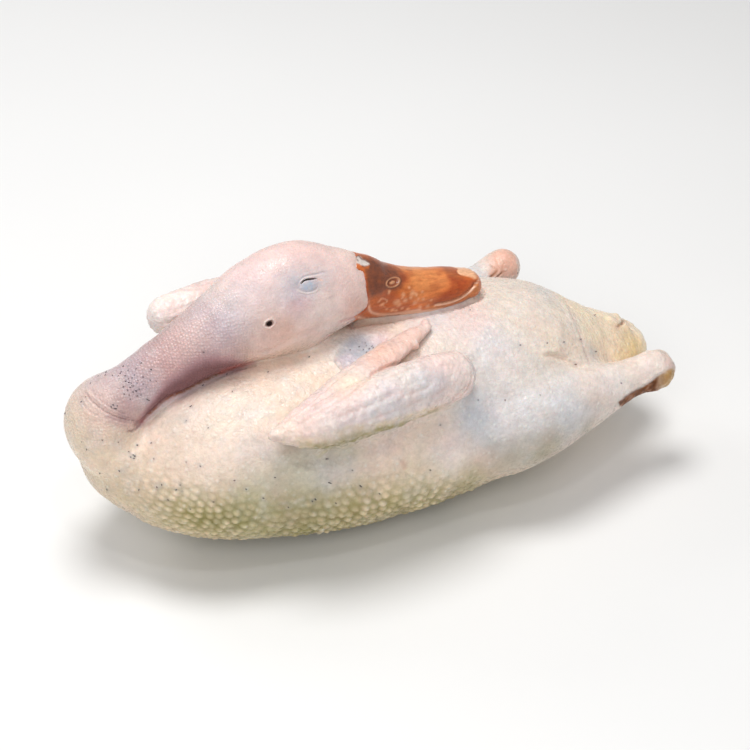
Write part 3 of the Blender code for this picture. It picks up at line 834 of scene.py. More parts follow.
def thin_out(obj, limit, kept=()):
    """Fewer triangles, up to the limit, but all of those near the kept places (points and radii)."""
    mesh = obj.data
    triangles = sum(len(polygon.vertices) - 2 for polygon in mesh.polygons)
    if triangles <= limit:
        return
    points = points_of(obj)
    weight = np.ones(len(points))
    for point, radius in kept:
        weight[np.linalg.norm(points - point, axis=1) < radius] = 0
    group = obj.vertex_groups.new(name="thinned")
    group.add(np.flatnonzero(weight > 0).tolist(), 1.0, "REPLACE")
    decimate = obj.modifiers.new("Decimate", "DECIMATE")
    decimate.ratio = limit / triangles
    decimate.vertex_group = group.name
    decimate.vertex_group_factor = 1.0
    decimate.use_collapse_triangulate = True
    apply_modifiers(obj)
    obj.vertex_groups.clear()


def value_noise(points, size, seed):
    """Smooth noise from about -1 to 1, with lumps about size millimetres wide."""
    lattice = np.random.default_rng(seed).uniform(-1, 1, (32, 32, 32))
    scaled = points / size
    cell = np.floor(scaled).astype(int)
    part = eased(scaled - cell)
    total = np.zeros(len(points))
    for corner in np.ndindex(2, 2, 2):
        weight = np.prod(np.where(np.array(corner) == 1, part, 1 - part), axis=1)
        a, b, c = ((cell + corner) % 32).T
        total += weight * lattice[a, b, c]
    return total


def line_distance(points, line):
    """Each point's distance to a line through several points, and how far along it that is, from 0 to 1."""
    best = np.full(len(points), np.inf)
    along = np.zeros(len(points))
    lengths = np.linalg.norm(np.diff(line, axis=0), axis=1)
    total, passed = max(lengths.sum(), 1e-6), 0.0
    for start, end, length in zip(line[:-1], line[1:], lengths):
        step = end - start
        t = clamp((points - start) @ step / max(length**2, 1e-9), 0, 1)
        distance = np.linalg.norm(points - start - t[:, None] * step, axis=1)
        closer = distance < best
        best[closer] = distance[closer]
        along[closer] = ((passed + t * length) / total)[closer]
        passed += length
    return best, along


def on_photo(points):
    """Where points show in the photograph, in millimetres at the duck's distance."""
    return np.stack(pixels_of(points), axis=1) * DISTANCE / FOCAL_PIXELS


def in_box(points, corners, margin):
    """Numbers of the points within a margin of the box round some corners."""
    low, high = corners.min(axis=0) - margin, corners.max(axis=0) + margin
    return np.flatnonzero(np.all((points > low) & (points < high), axis=1))


def line_in_view(points, carrier, pixels):
    """Each point's distance in millimetres to a line on the photograph, and how far along it that is."""
    surface = carrier.line(pixels)
    distance, along = np.full(len(points), 99.0), np.zeros(len(points))
    near = in_box(points, surface, 9.0)
    if len(near):
        drawn = smooth_rows(pixels, 6) * DISTANCE / FOCAL_PIXELS
        distance[near], along[near] = line_distance(on_photo(points[near]), drawn)
    return distance, along


def oval_in_view(points, carrier, pixel, half_axes, turn=0.0):
    """How far out each point lies in an oval round a pixel: 0 in its middle, 1 on its outline."""
    centre, _ = carrier.seen_at(pixel)
    reach = np.full(len(points), 9.0)
    near = np.flatnonzero(np.linalg.norm(points - centre, axis=1) < 2.2 * half_axes[0] + 2)
    if len(near):
        offset = on_photo(points[near]) - on_photo(centre[None])
        c, s = math.cos(math.radians(turn)), math.sin(math.radians(turn))
        across, down = offset[:, 0] * c - offset[:, 1] * s, offset[:, 0] * s + offset[:, 1] * c
        reach[near] = np.hypot(across / half_axes[0], down / half_axes[1])
    return reach


def patch(points, carrier, outline, soft):
    """1 at points inside an outline on the photograph and 0 outside, over an edge soft millimetres wide."""
    surface = np.array([carrier.seen_at(pixel)[0] for pixel in outline])
    made = np.zeros(len(points))
    near = in_box(points, surface, 6.0)
    if len(near) == 0:
        return made
    flat = on_photo(points[near])
    ring = smooth_rows(outline + outline[:1], 4) * DISTANCE / FOCAL_PIXELS
    distance, _ = line_distance(flat, ring)
    inside = np.zeros(len(near), bool)
    for (x1, y1), (x2, y2) in zip(ring[:-1], ring[1:]):
        crosses = (y1 > flat[:, 1]) != (y2 > flat[:, 1])
        inside ^= crosses & (flat[:, 0] < (x2 - x1) * (flat[:, 1] - y1) / (y2 - y1 + 1e-12) + x1)
    made[near] = smooth_step(np.where(inside, distance, -distance), -soft / 2, soft / 2)
    return made


def reflected(points):
    """The points mirrored across the middle plane of the rolled head."""
    return points - 2 * ((points - HEAD_MIDDLE) @ HEAD_SIDE)[:, None] * HEAD_SIDE


def limb_axes(start, end):
    """The directions along a limb, sideways from it and up from it."""
    along = (np.array(end) - start) / np.linalg.norm(np.array(end) - start)
    up = np.array([0, 0, 1.0]) - along[2] * along
    up /= np.linalg.norm(up)
    return np.array([along, np.cross(along, up), up])


def counterpart(points, there, here):
    """Where points beside a limb of the far side (its start and end) lie beside the near side's."""
    length = np.linalg.norm(np.subtract(*here)) / np.linalg.norm(np.subtract(*there))
    offset = (points - there[0]) @ limb_axes(*there).T * (length, -1, 1)
    return here[0] + offset @ limb_axes(*here)


def fold_profile(points, line, width, depth, lip, taper=FOLD_FADE):
    """How far the skin rises at each point beside a fold: it sinks along the line, between two low lips."""
    rise = np.zeros(len(points))
    near = in_box(points, line, 4 * width)
    if len(near):
        distance, along = line_distance(points[near], line)
        fade = eased(clamp(np.minimum(along, 1 - along) / taper, 0, 1))
        q = distance / width
        rise[near] = fade * (lip * bell(q - LIP_DISTANCE) - depth * bell(q))
    return rise


def add_folds(rise, points, carrier, folds, taper=FOLD_FADE, where=1.0):
    """Adds the relief of each fold (its pixels, half width, depth and lips) to the rise of the points."""
    for pixels, width, depth, lip in folds:
        rise += fold_profile(points, carrier.line(pixels), width, depth, lip, taper) * where


def lattice_bumps(u, v, spacing, seed):
    """Round bumps in staggered rows, 1 at a bump's top and 0 between bumps, with a random size each."""
    rng = np.random.default_rng(seed)
    size = 256
    shift_u, shift_v = rng.uniform(-BUMP_STRAY, BUMP_STRAY, (2, size, size))
    strength = rng.uniform(0.4, 1.0, (size, size))
    row_height = spacing * ROW_DISTANCE
    best, made = np.full(len(u), np.inf), np.zeros(len(u))
    base_row = np.floor(v / row_height).astype(int)
    for step in (-1, 0, 1, 2):
        row = base_row + step
        stagger = np.where(row % 2 == 0, 0.0, 0.5)
        base_column = np.floor(u / spacing - stagger).astype(int)
        for side in (0, 1):
            column = base_column + side
            i, j = row % size, column % size
            centre_u = (column + stagger + shift_u[i, j]) * spacing
            centre_v = (row + shift_v[i, j]) * row_height
            distance = np.hypot(u - centre_u, v - centre_v) / spacing
            closer = distance < best
            best[closer] = distance[closer]
            made[closer] = strength[i, j][closer]
    profile = clamp(1 - (best / BUMP_RADIUS) ** 2, 0, 1)
    return profile**1.3 * made


def trunk_coordinates(points):
    """Distances along the carcass and around it, over its skin."""
    rows = smooth_rows(CARCASS, STEPS_BETWEEN_STATIONS)
    radius = rows[:, 3]
    steps = np.hypot(np.diff(rows[:, 0]), np.diff(radius))
    travelled = np.concatenate([[0], np.cumsum(steps)])
    along = np.interp(points[:, 0], rows[:, 0], travelled)
    around = np.arctan2(points[:, 2] - CARCASS_Z, -points[:, 1]) * CARCASS_RADIUS
    return along, around


def smooth_step(value, low, high):
    """0 up to low and 1 from high on, with a soft rise between them."""
    return eased(clamp((value - low) / (high - low), 0, 1))


def fall(value, low, high):
    """1 up to low and 0 from high on."""
    return 1 - smooth_step(value, low, high)


def closeness(points, limbs):
    """How much each point belongs to each limb, as shares that add up to 1."""
    scores = []
    for stations, _ in limbs:
        rows = smooth_rows(stations, 3)
        best = np.full(len(points), np.inf)
        for row in rows:
            reach = 0.5 * (row[3] + row[4])
            best = np.minimum(best, np.linalg.norm(points - row[:3], axis=1) / reach)
        scores.append(-SHARE_SHARPNESS * best)
    scores = np.array(scores)
    scores = np.exp(scores - scores.max(axis=0))
    return scores / scores.sum(axis=0)


def flank_mask(points, share):
    """Where the feather tracts stand out: along the lower flanks and the breast, on both sides."""
    x, _, z = points.T
    top = 70 + 15 * smooth_step(-x, 60, 130) - 10 * smooth_step(x, 10, 60)
    low = fall(z, top - 30, top)
    front = (0.25 + 0.75 * smooth_step(x, -160, -118)) * fall(x, 62, 125)
    return low * front * share


def bump_field(points, share):
    """Height of the feather follicles, and how bump-like each place is."""
    warp = 2.0 * value_noise(points, 17, 3)
    along, around = trunk_coordinates(points)
    across = around + 2.0 * value_noise(points, 21, 4)
    bumps = lattice_bumps(along + warp + 0.25 * around, across, FOLLICLE_SPACING, 5)
    patchy = 0.85 + 0.35 * value_noise(points, 26, 6)
    return bumps, flank_mask(points, share) * patchy


def painted(points, carrier, base, places, mirrored=True, tints=TINTS):
    """Colours of the points: a base colour with the tinted places over it, on both sides if mirrored."""
    total = np.ones(len(points))
    colour = base.copy()
    for tint, spots in places.items():
        for *pixel, radius, strength in spots:
            centre = carrier.seen_at(pixel)[0]
            copies = [(centre, strength)]
            if mirrored and abs(centre[1]) > SIDE_STARTS and centre[2] < SIDE_TOP:
                copies.append((centre * OTHER_SIDE, 0.8 * strength))
            for spot, amount in copies:
                weight = amount * bell(np.linalg.norm(points - spot, axis=1) / radius)
                colour += weight[:, None] * np.array(tints[tint])
                total += weight
    return colour / total[:, None]


def mixed(colour, tint, amount, tints=TINTS):
    """The colours turned towards a tint, by an amount from 0 to 1 at each point."""
    return colour + (np.array(tints[tint]) - colour) * clamp(amount, 0, 1)[:, None]


def lined(colour, points, carrier, pixels, tint, width, strength, where=1.0, tints=TINTS):
    """The colours with a soft line of a tint over them, drawn on the photograph."""
    distance, _ = line_in_view(points, carrier, pixels)
    return mixed(colour, tint, strength * bell(distance / width) * where, tints)


def patched(colour, points, carrier, patches, uneven):
    """The colours with tinted areas over them, which are as uneven as the noise given."""
    for outline, tint, strength, soft in patches:
        colour = mixed(colour, tint, strength * uneven * patch(points, carrier, outline, soft))
    return colour


def store_colours(obj, name, colours):
    """Keeps a colour, or two or three shares, for each point of a mesh."""
    attribute = obj.data.color_attributes.new(name, "FLOAT_COLOR", "POINT")
    rgba = np.ones((len(obj.data.vertices), 4), np.float32)
    rgba[:, : colours.shape[1]] = clamp(colours, 0, 1)
    attribute.data.foreach_set("color", rgba.ravel())


def place(obj):
    """Moves a piece to the CAD frame, in metres, and flattens it where it rests."""
    points = points_of(obj) + ROW_TO_FRAME
    points[:, 2] = np.maximum(points[:, 2], 0.0)
    move_points(obj, points * MM)
    obj.data.shade_smooth()
    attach(obj, "root")


def relax(obj, centre, reach, iterations):
    """Smooths the skin around a place, so that what was fused there flows together."""
    distance = np.linalg.norm((points_of(obj) - centre) / reach, axis=1)
    group = obj.vertex_groups.new(name="relaxed")
    for index in np.flatnonzero(distance < 1.6):
        group.add([int(index)], float(math.exp(-distance[index] ** 2)), "REPLACE")
    smooth = obj.modifiers.new("Smooth", "SMOOTH")
    smooth.factor = SMOOTH_FACTOR
    smooth.iterations = iterations
    smooth.vertex_group = group.name
    apply_modifiers(obj)
    obj.vertex_groups.clear()


# Skin


def pressed_in(points):
    """How far the large hollows and swellings move the skin, outwards."""
    rise = np.zeros(len(points))
    for centre, reach, depth in PRESSED:
        rise -= depth * bell(np.linalg.norm((points - centre) / reach, axis=1))
    return rise


def eye_relief(points, carrier):
    """The closed lid in its socket, with the slit above it and the rims around it."""
    lid = clamp(1 - oval_in_view(points, carrier, *LID) ** 2, 0, 1) ** 0.8
    rise = -0.9 * bell(oval_in_view(points, carrier, *SOCKET)) + 0.7 * lid
    add_folds(rise, points, carrier, EYE_FOLDS)
    return rise


def ear_reach(points, carrier):
    """How far each point lies from the ear, as a share of the ear's uneven outline."""
    return oval_in_view(points, carrier, *EAR) * (1 + 0.16 * value_noise(points, 1.5, 61))


def ear_relief(points, carrier):
    """The ear's hole, in a low rim."""
    reach = ear_reach(points, carrier)
    return 0.4 * bell((reach - 1.3) / 0.35) - 3.2 * fall(reach, 0.55, 1.1)


def skin_colours(points, carrier, bumps, mask, shares):
    """Large fields, tinted places, blotches, and the tops of the follicles and the skin between them."""
    x, y, z = points.T
    base = np.tile(np.array(TINTS[BODY_TONE]), (len(points), 1))
    # Darker and yellower towards the bottom: partly the skin's own straw tone, partly painted shade
    under = fall(z, 18, 52)
    base = mixed(base, "straw", 0.7 * under)
    neck, head = shares[-2], shares[-1]
    tail = smooth_step(x, 118, 130) * fall(np.abs(y), 22, 32)
    rump = smooth_step(x, 0, 50) * (1 - tail)
    base = mixed(base, "white", 0.6 * rump * (1 - under) * (1 - head))
    base = mixed(base, "butter", 0.8 * tail)
    base = mixed(base, "mauve", 0.7 * neck * smooth_step(z, 82, 104))
    base = mixed(base, "pink", 0.55 * head)
    colour = painted(points, carrier, base, SKIN_PLACES)
    # Painted shade: the lowest skin, near the floor, darkens to moss
    low = fall(z, 10, 38) * (0.85 + 0.3 * value_noise(points, 18, 17))
    colour = mixed(colour, "moss", 0.8 * low * (1 - 0.5 * smooth_step(x, 20, 70)))
    blotch = value_noise(points, 24, 11) + 0.5 * value_noise(points, 11, 12)
    colour = mixed(colour, "pale blue", 0.28 * smooth_step(blotch, 0.35, 1.1) * (1 - tail))
    colour = mixed(colour, "pink", 0.22 * smooth_step(-blotch, 0.3, 1.1))
    small = value_noise(points, 7, 15) + 0.6 * value_noise(points, 3.2, 16)
    colour = mixed(colour, "pale blue", 0.2 * smooth_step(small, 0.2, 1.0) * (1 - 0.6 * head) * (1 - tail))
    colour = mixed(colour, "peach", 0.2 * smooth_step(-small, 0.3, 1.0) * (1 - head))
    colour = mixed(colour, "white", 0.15 * smooth_step(value_noise(points, 5, 13), 0.2, 0.8) * (1 - head))
    # Bumps are paler at their tops and darker between them: partly the follicles' own tone, partly painted
    # highlight and painted shade
    tops = (bumps * mask)[:, None]
    valleys = ((1 - bumps) * mask)[:, None]
    return colour * (1 - 0.54 * valleys * (1.0, 0.96, 1.4)) + tops * (0.16, 0.14, 0.08)


def darken_details(points, colour, carrier):
    """The lid and the slit of the eye, the specks of the head, the ear and the tints of the folds."""
    for side in (points, reflected(points)):
        lid = fall(oval_in_view(side, carrier, *TINTED_LID), 0.6, 1.2)
        colour = mixed(colour, "lid", lid * (0.45 + 0.4 * value_noise(points, 1.6, 62)))
        for pixels, tint, width, strength in EYE_LINES:
            colour = lined(colour, side, carrier, pixels, tint, width, strength)
        # Painted shade in the eye's slit
        distance, along = line_in_view(side, carrier, EYE_SLIT)
        thick = 0.1 + 0.38 * np.sin(math.pi * clamp(along, 0, 1))
        open_part = (along > 0.01) * (along < 0.99)
        colour = mixed(colour, "dark", 1.2 * np.exp(-((distance / thick) ** 4)) * open_part)
        for *pixel, radius, tint, strength in HEAD_SPECKS:
            reach = oval_in_view(side, carrier, pixel, (radius, radius))
            colour = mixed(colour, tint, strength * bell(reach))
        # Painted shade in the ear's hole, within a pale rim
        reach = ear_reach(side, carrier)
        colour = mixed(colour, "dark", fall(reach, 0.6, 1.0))
        colour = mixed(colour, "pearl", 0.35 * bell((reach - 1.25) / 0.2))
    # Tints along the folds, painted shade where they darken the neck folds and the shoulder fold
    for name, (tint, strength) in FOLD_TINTS.items():
        pixels, width, _, _ = SKIN_FOLDS[name]
        colour = lined(colour, points, carrier, pixels, tint, 0.9 * width, strength)
    return colour


def neck_shade(points, carrier, colour, neck):
    """Painted shade round the gap under the neck, on both sides, and the red notch and line at its end."""
    gap = smooth_rows(NECK_GAP, 4)
    for side, share in ((points, 1.0), (points * OTHER_SIDE + (0, 12, 0), 0.55)):
        across, down = pixels_of(side)
        above = np.interp(across, gap[:, 0], gap[:, 1]) - down
        here = smooth_step(across, 132, 148) * fall(across, 228, 262) * (side[:, 1] < 8) * share
        on_neck = clamp(2.5 * neck, 0, 1) * (side[:, 2] > 76)
        thick = np.interp(across, NECK_SHADE_BAND[0], NECK_SHADE_BAND[1])
        # Painted shade: dark band on the neck over the gap, lilac shadow on the body below, brown in the gap
        band = here * smooth_step(above, -2, 0.5) * on_neck
        colour = mixed(colour, "plum", band * fall(above / thick, 0.8, 1.6))
        colour = mixed(colour, "dusk", 0.85 * band * fall(above / thick, 0.45, 1.1))
        below = here * smooth_step(-above, -1, 1) * fall(-above, 2, 9) * (side[:, 2] > 60)
        colour = mixed(colour, "lilac", 0.55 * below)
        crease = here * bell(above / 1.6) * (side[:, 2] > 70) * (side[:, 2] < 116)
        colour = mixed(colour, "brown", 0.8 * crease)
    colour = mixed(colour, "red", 0.9 * bell(oval_in_view(points, carrier, *NOTCH)))
    return lined(colour, points, carrier, RED_LINE, "red", 1.1, 0.6)


def skin_grain(points, shares, colour):
    """Strength of the fine relief in the material: net on the neck, wrinkles on the rump, and pores."""
    x, y, z = points.T
    neck = shares[-2] * smooth_step(z, 78, 92) + 0.12 * shares[-1]
    rump = 0.5 * smooth_step(x, 98, 118) * fall(np.abs(y), 20, 30)
    pores = (1 - 0.75 * clamp(shares[-1] + 0.7 * shares[-2], 0, 1)) * smooth_step(colour[:, 1], 0.25, 0.6)
    return np.stack([neck, rump, pores], axis=1)


def hock_points(points):
    """Where the points of the far hock lie on the near one. The other points go far away."""
    x, y, _ = points.T
    moved = counterpart(points, FAR_HOCK, NEAR_HOCK)
    moved[(x < FAR_HOCK_STARTS[0]) | (y < FAR_HOCK_STARTS[1])] = 999.0
    return moved


def hock_colours(points, colour, carrier):
    """The scaly brown underside of the hocks, and the salmon skin and red-brown wrinkles of the far one."""
    far_leg = points[:, 1] > FAR_LEG_STARTS
    colour = mixed(colour, "salmon", 0.85 * patch(points, carrier, FAR_HOCK_SKIN, 3.0) * far_leg)
    for pixels, width, depth, _ in FAR_HOCK_FOLDS:
        tint, strength = ("brown", 0.85) if depth > 0.9 else ("rust", 0.4)
        colour = lined(colour, points, carrier, pixels, tint, width, strength, far_leg)
    streaks = value_noise(points * (1, 1, 0.4), 1.2, 63)
    for hock in (points, hock_points(points)):
        under = patch(hock, carrier, HOCK_UNDERSIDE, 1.6)
        across, _ = pixels_of(hock)
        right = smooth_step(across, 650, 668)
        colour = mixed(colour, "tan", 0.9 * under * right)
        colour = mixed(colour, "brown", under * (1.05 - 0.8 * right + 0.25 * streaks))
        colour = mixed(colour, "dark", under * (1 - right) * clamp(0.3 + 0.6 * streaks, 0, 0.65))
    return colour


def tail_lumps(points, carrier):
    """The small nub on the tail's upper side, and the scalloped edge of its end, on both sides."""
    rise = np.zeros(len(points))
    end = smooth_step(points[:, 0], 150, 164)
    for side in (points, points * OTHER_SIDE):
        for *pixel, radius, height in TAIL_LUMPS:
            centre, _ = carrier.seen_at(pixel)
            rise += height * bell(np.linalg.norm(side - centre, axis=1) / radius)
    return rise + 0.5 * end * value_noise(points, 3.4, 23)


def skin_relief(points, carrier, horn):
    """How far follicles, folds, hocks, tail, eyes and ears raise the skin. Under the bill it sinks."""
    shares = closeness(points, SKIN_LIMBS)
    bumps, mask = bump_field(points, shares[0])
    rise = FOLLICLE_HEIGHT * bumps * mask + 0.2 * bumps * shares[0]
    rise += 0.35 * value_noise(points, 14, 21) + 0.16 * value_noise(points, 6, 22)
    add_folds(rise, points, carrier, SKIN_FOLDS.values())
    add_folds(rise, points * OTHER_SIDE, carrier, [SKIN_FOLDS[name] for name in MIRRORED_FOLDS])
    add_folds(rise, points, carrier, FAR_HOCK_FOLDS, where=points[:, 1] > FAR_LEG_STARTS)
    far_hock = hock_points(points)
    add_folds(rise, far_hock, carrier, [SKIN_FOLDS["hock edge"]])
    scaly = patch(points, carrier, HOCK_UNDERSIDE, 1.5) + patch(far_hock, carrier, HOCK_UNDERSIDE, 1.5)
    rise += scaly * (0.22 * value_noise(points * (1, 1, 0.5), 1.3, 24) - 0.25)
    rise -= 2.0 * patch(points, carrier, ARMPIT, 5.0)
    rise += tail_lumps(points, carrier)
    for side in (points, reflected(points)):
        rise += eye_relief(side, carrier) + ear_relief(side, carrier)
    return rise - 1.8 * smooth_step(horn.beyond_edge(points), 0.0, 1.8)


def build_skin():
    """The carcass with legs, tail, neck and head, and the grid of the horn that the bill grows from."""
    trunk = fused("trunk", [limb(*given) for given in TRUNK_LIMBS], TRUNK_VOXEL, TRUNK_SOFTNESS)
    outer = [limb(*given) for given in NECK_AND_HEAD]
    skin = fused("skin", [trunk.data, *outer], SKIN_VOXEL, LIMB_SOFTNESS)
    bpy.data.objects.remove(trunk)
    relax(skin, *CHEST)
    raise_points(skin, pressed_in(points_of(skin)))
    carrier = Carrier(skin)
    horn = HornGrid(carrier)
    gap = fold_profile(points_of(skin), carrier.line(NECK_GAP), 1.8, 2.0, 0.0, taper=0.07)
    raise_points(skin, gap)
    eye, ear = carrier.seen_at(EYE)[0], carrier.seen_at(EAR[0])[0]
    far_eye, far_ear = reflected(np.array([eye, ear]))
    refine(skin, [(eye, 14.0), (eye, 10.0), (ear, 6.0), (ear, 5.0), (far_eye, 12.0), (far_ear, 6.0)])
    raise_points(skin, skin_relief(points_of(skin), carrier, horn))
    thin_out(skin, SKIN_TRIANGLES, [(eye, 9.0), (ear, 4.5), (far_eye, 8.0), (far_ear, 4.5)])

    points = points_of(skin)
    shares = closeness(points, SKIN_LIMBS)
    bumps, mask = bump_field(points, shares[0])
    colour = skin_colours(points, carrier, bumps, mask, shares)
    colour = neck_shade(points, carrier, colour, shares[-2])
    colour = patched(colour, points, carrier, SKIN_PATCHES, 0.8 + 0.35 * value_noise(points, 4, 14))
    colour = hock_colours(points, colour, carrier)
    colour = pin_halos(points, colour, carrier)
    colour = darken_details(points, colour, carrier)
    store_colours(skin, "tone", colour)
    store_colours(skin, "grain", skin_grain(points, shares, colour))
    return skin, horn


# Stubs of pin feathers


def pin_halos(points, colour, carrier):
    """The bluish skin around the stubs."""
    for *pixel, _ in PINS:
        centre = carrier.seen_at(pixel)[0]
        for spot in (centre, centre * OTHER_SIDE):
            near = in_box(points, spot[None], 4.0)
            distance = np.linalg.norm(points[near] - spot, axis=1)
            colour[near] = mixed(colour[near], "slate", 0.3 * bell(distance / 1.2))
    return colour


def build_pins(skin):
    """Short dark quills left in the skin, at the places in the photograph and mirrored on the far side."""
    carrier = Carrier(skin)
    rng = np.random.default_rng(PIN_SEED)
    points, faces = [], []
    for *pixel, length in PINS:
        root, normal = carrier.seen_at(pixel)
        spots = [(root, normal)]
        if root[1] < -SIDE_STARTS or pixel[0] < 130:
            jitter = rng.uniform(-4, 4, 3)
            found, other, _, _ = carrier.tree.find_nearest(Vector(root * OTHER_SIDE + jitter))
            spots.append((np.array(found), np.array(other)))
        for spot, outwards in spots:
            lean = np.array([0.8, 0, -0.4]) + rng.uniform(-0.35, 0.35, 3)
            lean -= np.dot(lean, outwards) * outwards
            direction = 0.7 * outwards + 0.75 * lean / np.linalg.norm(lean)
            direction /= np.linalg.norm(direction)
            side = np.cross(direction, (0.3, 0.2, 0.9))
            side /= np.linalg.norm(side)
            other_side = np.cross(direction, side)
            thick = rng.uniform(*PIN_RADIUS)
            first = len(points)
            for along, radius in ((-0.5, 1.0), (0.5 * length, 0.9), (0.9 * length, 0.6), (length, 0.15)):
                for turn in np.radians(np.arange(0, 360, 360 // PIN_SIDES)):
                    offset = math.cos(turn) * side + math.sin(turn) * other_side
                    points.append(spot + direction * along + offset * radius * thick)
            faces += [tuple(first + k for k in face) for face in tube_faces(4, PIN_SIDES)]
    return new_object("pin_feathers", new_mesh("pin_feathers", points, faces))


# Wings


def quill_bumps(points, carrier):
    """The larger quill follicles, along the forearm's lower edge and on its face and the hand."""
    rise = np.zeros(len(points))
    for *pixel, radius, height in EDGE_QUILLS + FACE_QUILLS:
        centre, _ = carrier.seen_at(pixel)
        distance = np.linalg.norm((points - centre) / (radius, radius, 1.25 * radius), axis=1)
        rise += height * np.exp(-(distance**2.4))
    return rise


def wing_relief(points, carrier):
    """How far wrinkles, small follicles in rows, folds and the larger follicles raise a wing's skin."""
    _, y, z = points.T
    rise = 0.35 * value_noise(points, 9, 31) + 0.22 * value_noise(points, 4.2, 32)
    along = (points - NEAR_FOREARM[0][:3]) @ FOREARM_ALONG
    around = np.arctan2(z - FOREARM_Z, FOREARM_Y - y) * FOREARM_RADIUS
    bumps = lattice_bumps(along, around, QUILL_SPACING, 33)
    low = fall(z, 92, 106)
    rise += (0.3 + 0.5 * low) * bumps
    turned = np.stack([along, y - FOREARM_Y, z - FOREARM_Z - 0.35 * along], axis=1)
    rise += 0.24 * value_noise(turned * (0.2, 1, 1), 2.8, 36) + 0.14 * value_noise(points, 1.9, 37)
    add_folds(rise, points, carrier, WING_FOLDS.values(), taper=0.12)
    return rise + quill_bumps(points, carrier)


def wing_colours(points, carrier, own_points, own_carrier):
    """A wing's colours. On the far wing, its own points take the tints of the part that shows."""
    _, _, z = points.T
    base = np.tile(np.array(TINTS["white"]), (len(points), 1))
    base = mixed(base, "pink", np.full(len(points), 0.4))
    # Painted shade: the wing's low side turns olive
    base = mixed(base, "olive", 0.6 * fall(z, 86, 97))
    colour = painted(points, carrier, base, WING_PLACES, mirrored=False)
    if carrier is not own_carrier:
        colour = painted(own_points, own_carrier, colour, FAR_WING_PLACES, mirrored=False)
    blotch = value_noise(points, 7, 34) + 0.5 * value_noise(points, 3, 35)
    colour = mixed(colour, "rosy", 0.3 * smooth_step(blotch, 0.3, 1.0))
    colour = mixed(colour, "pale blue", 0.3 * smooth_step(-blotch, 0.3, 1.0))
    for pixels, _, _, _ in WING_FOLDS.values():
        colour = lined(colour, points, carrier, pixels, "rust", 0.8, 0.16)
    colour = patched(colour, points, carrier, WING_PATCHES, 0.8 + 0.5 * value_noise(points, 3.5, 38))
    # Painted shadow just below each quill of the lower edge
    for *pixel, radius, _ in EDGE_QUILLS:
        below = points - carrier.seen_at(pixel)[0] + (0, 0, 1.2)
        colour = mixed(colour, "straw", 0.45 * bell(np.linalg.norm(below, axis=1) / (0.6 * radius)))
    return colour


def build_wing(name, limbs, near_carrier=None):
    """A wing. The far one, given the near one's carrier, repeats the near one's details."""
    wing = fused(name, [limb(*given) for given in limbs], WING_VOXEL, WING_SOFTNESS)
    own_carrier = Carrier(wing)
    carrier = near_carrier or own_carrier

    def on_near_wing(points):
        return counterpart(points, FAR_ARM, NEAR_ARM) if near_carrier else points

    raise_points(wing, wing_relief(on_near_wing(points_of(wing)), carrier))
    thin_out(wing, WING_TRIANGLES)
    points = points_of(wing)
    store_colours(wing, "tone", wing_colours(on_near_wing(points), carrier, points, own_carrier))
    store_colours(wing, "grain", np.tile([0.1, 0.0, 1.0], (len(points), 1)))
    return wing, own_carrier


# Bill


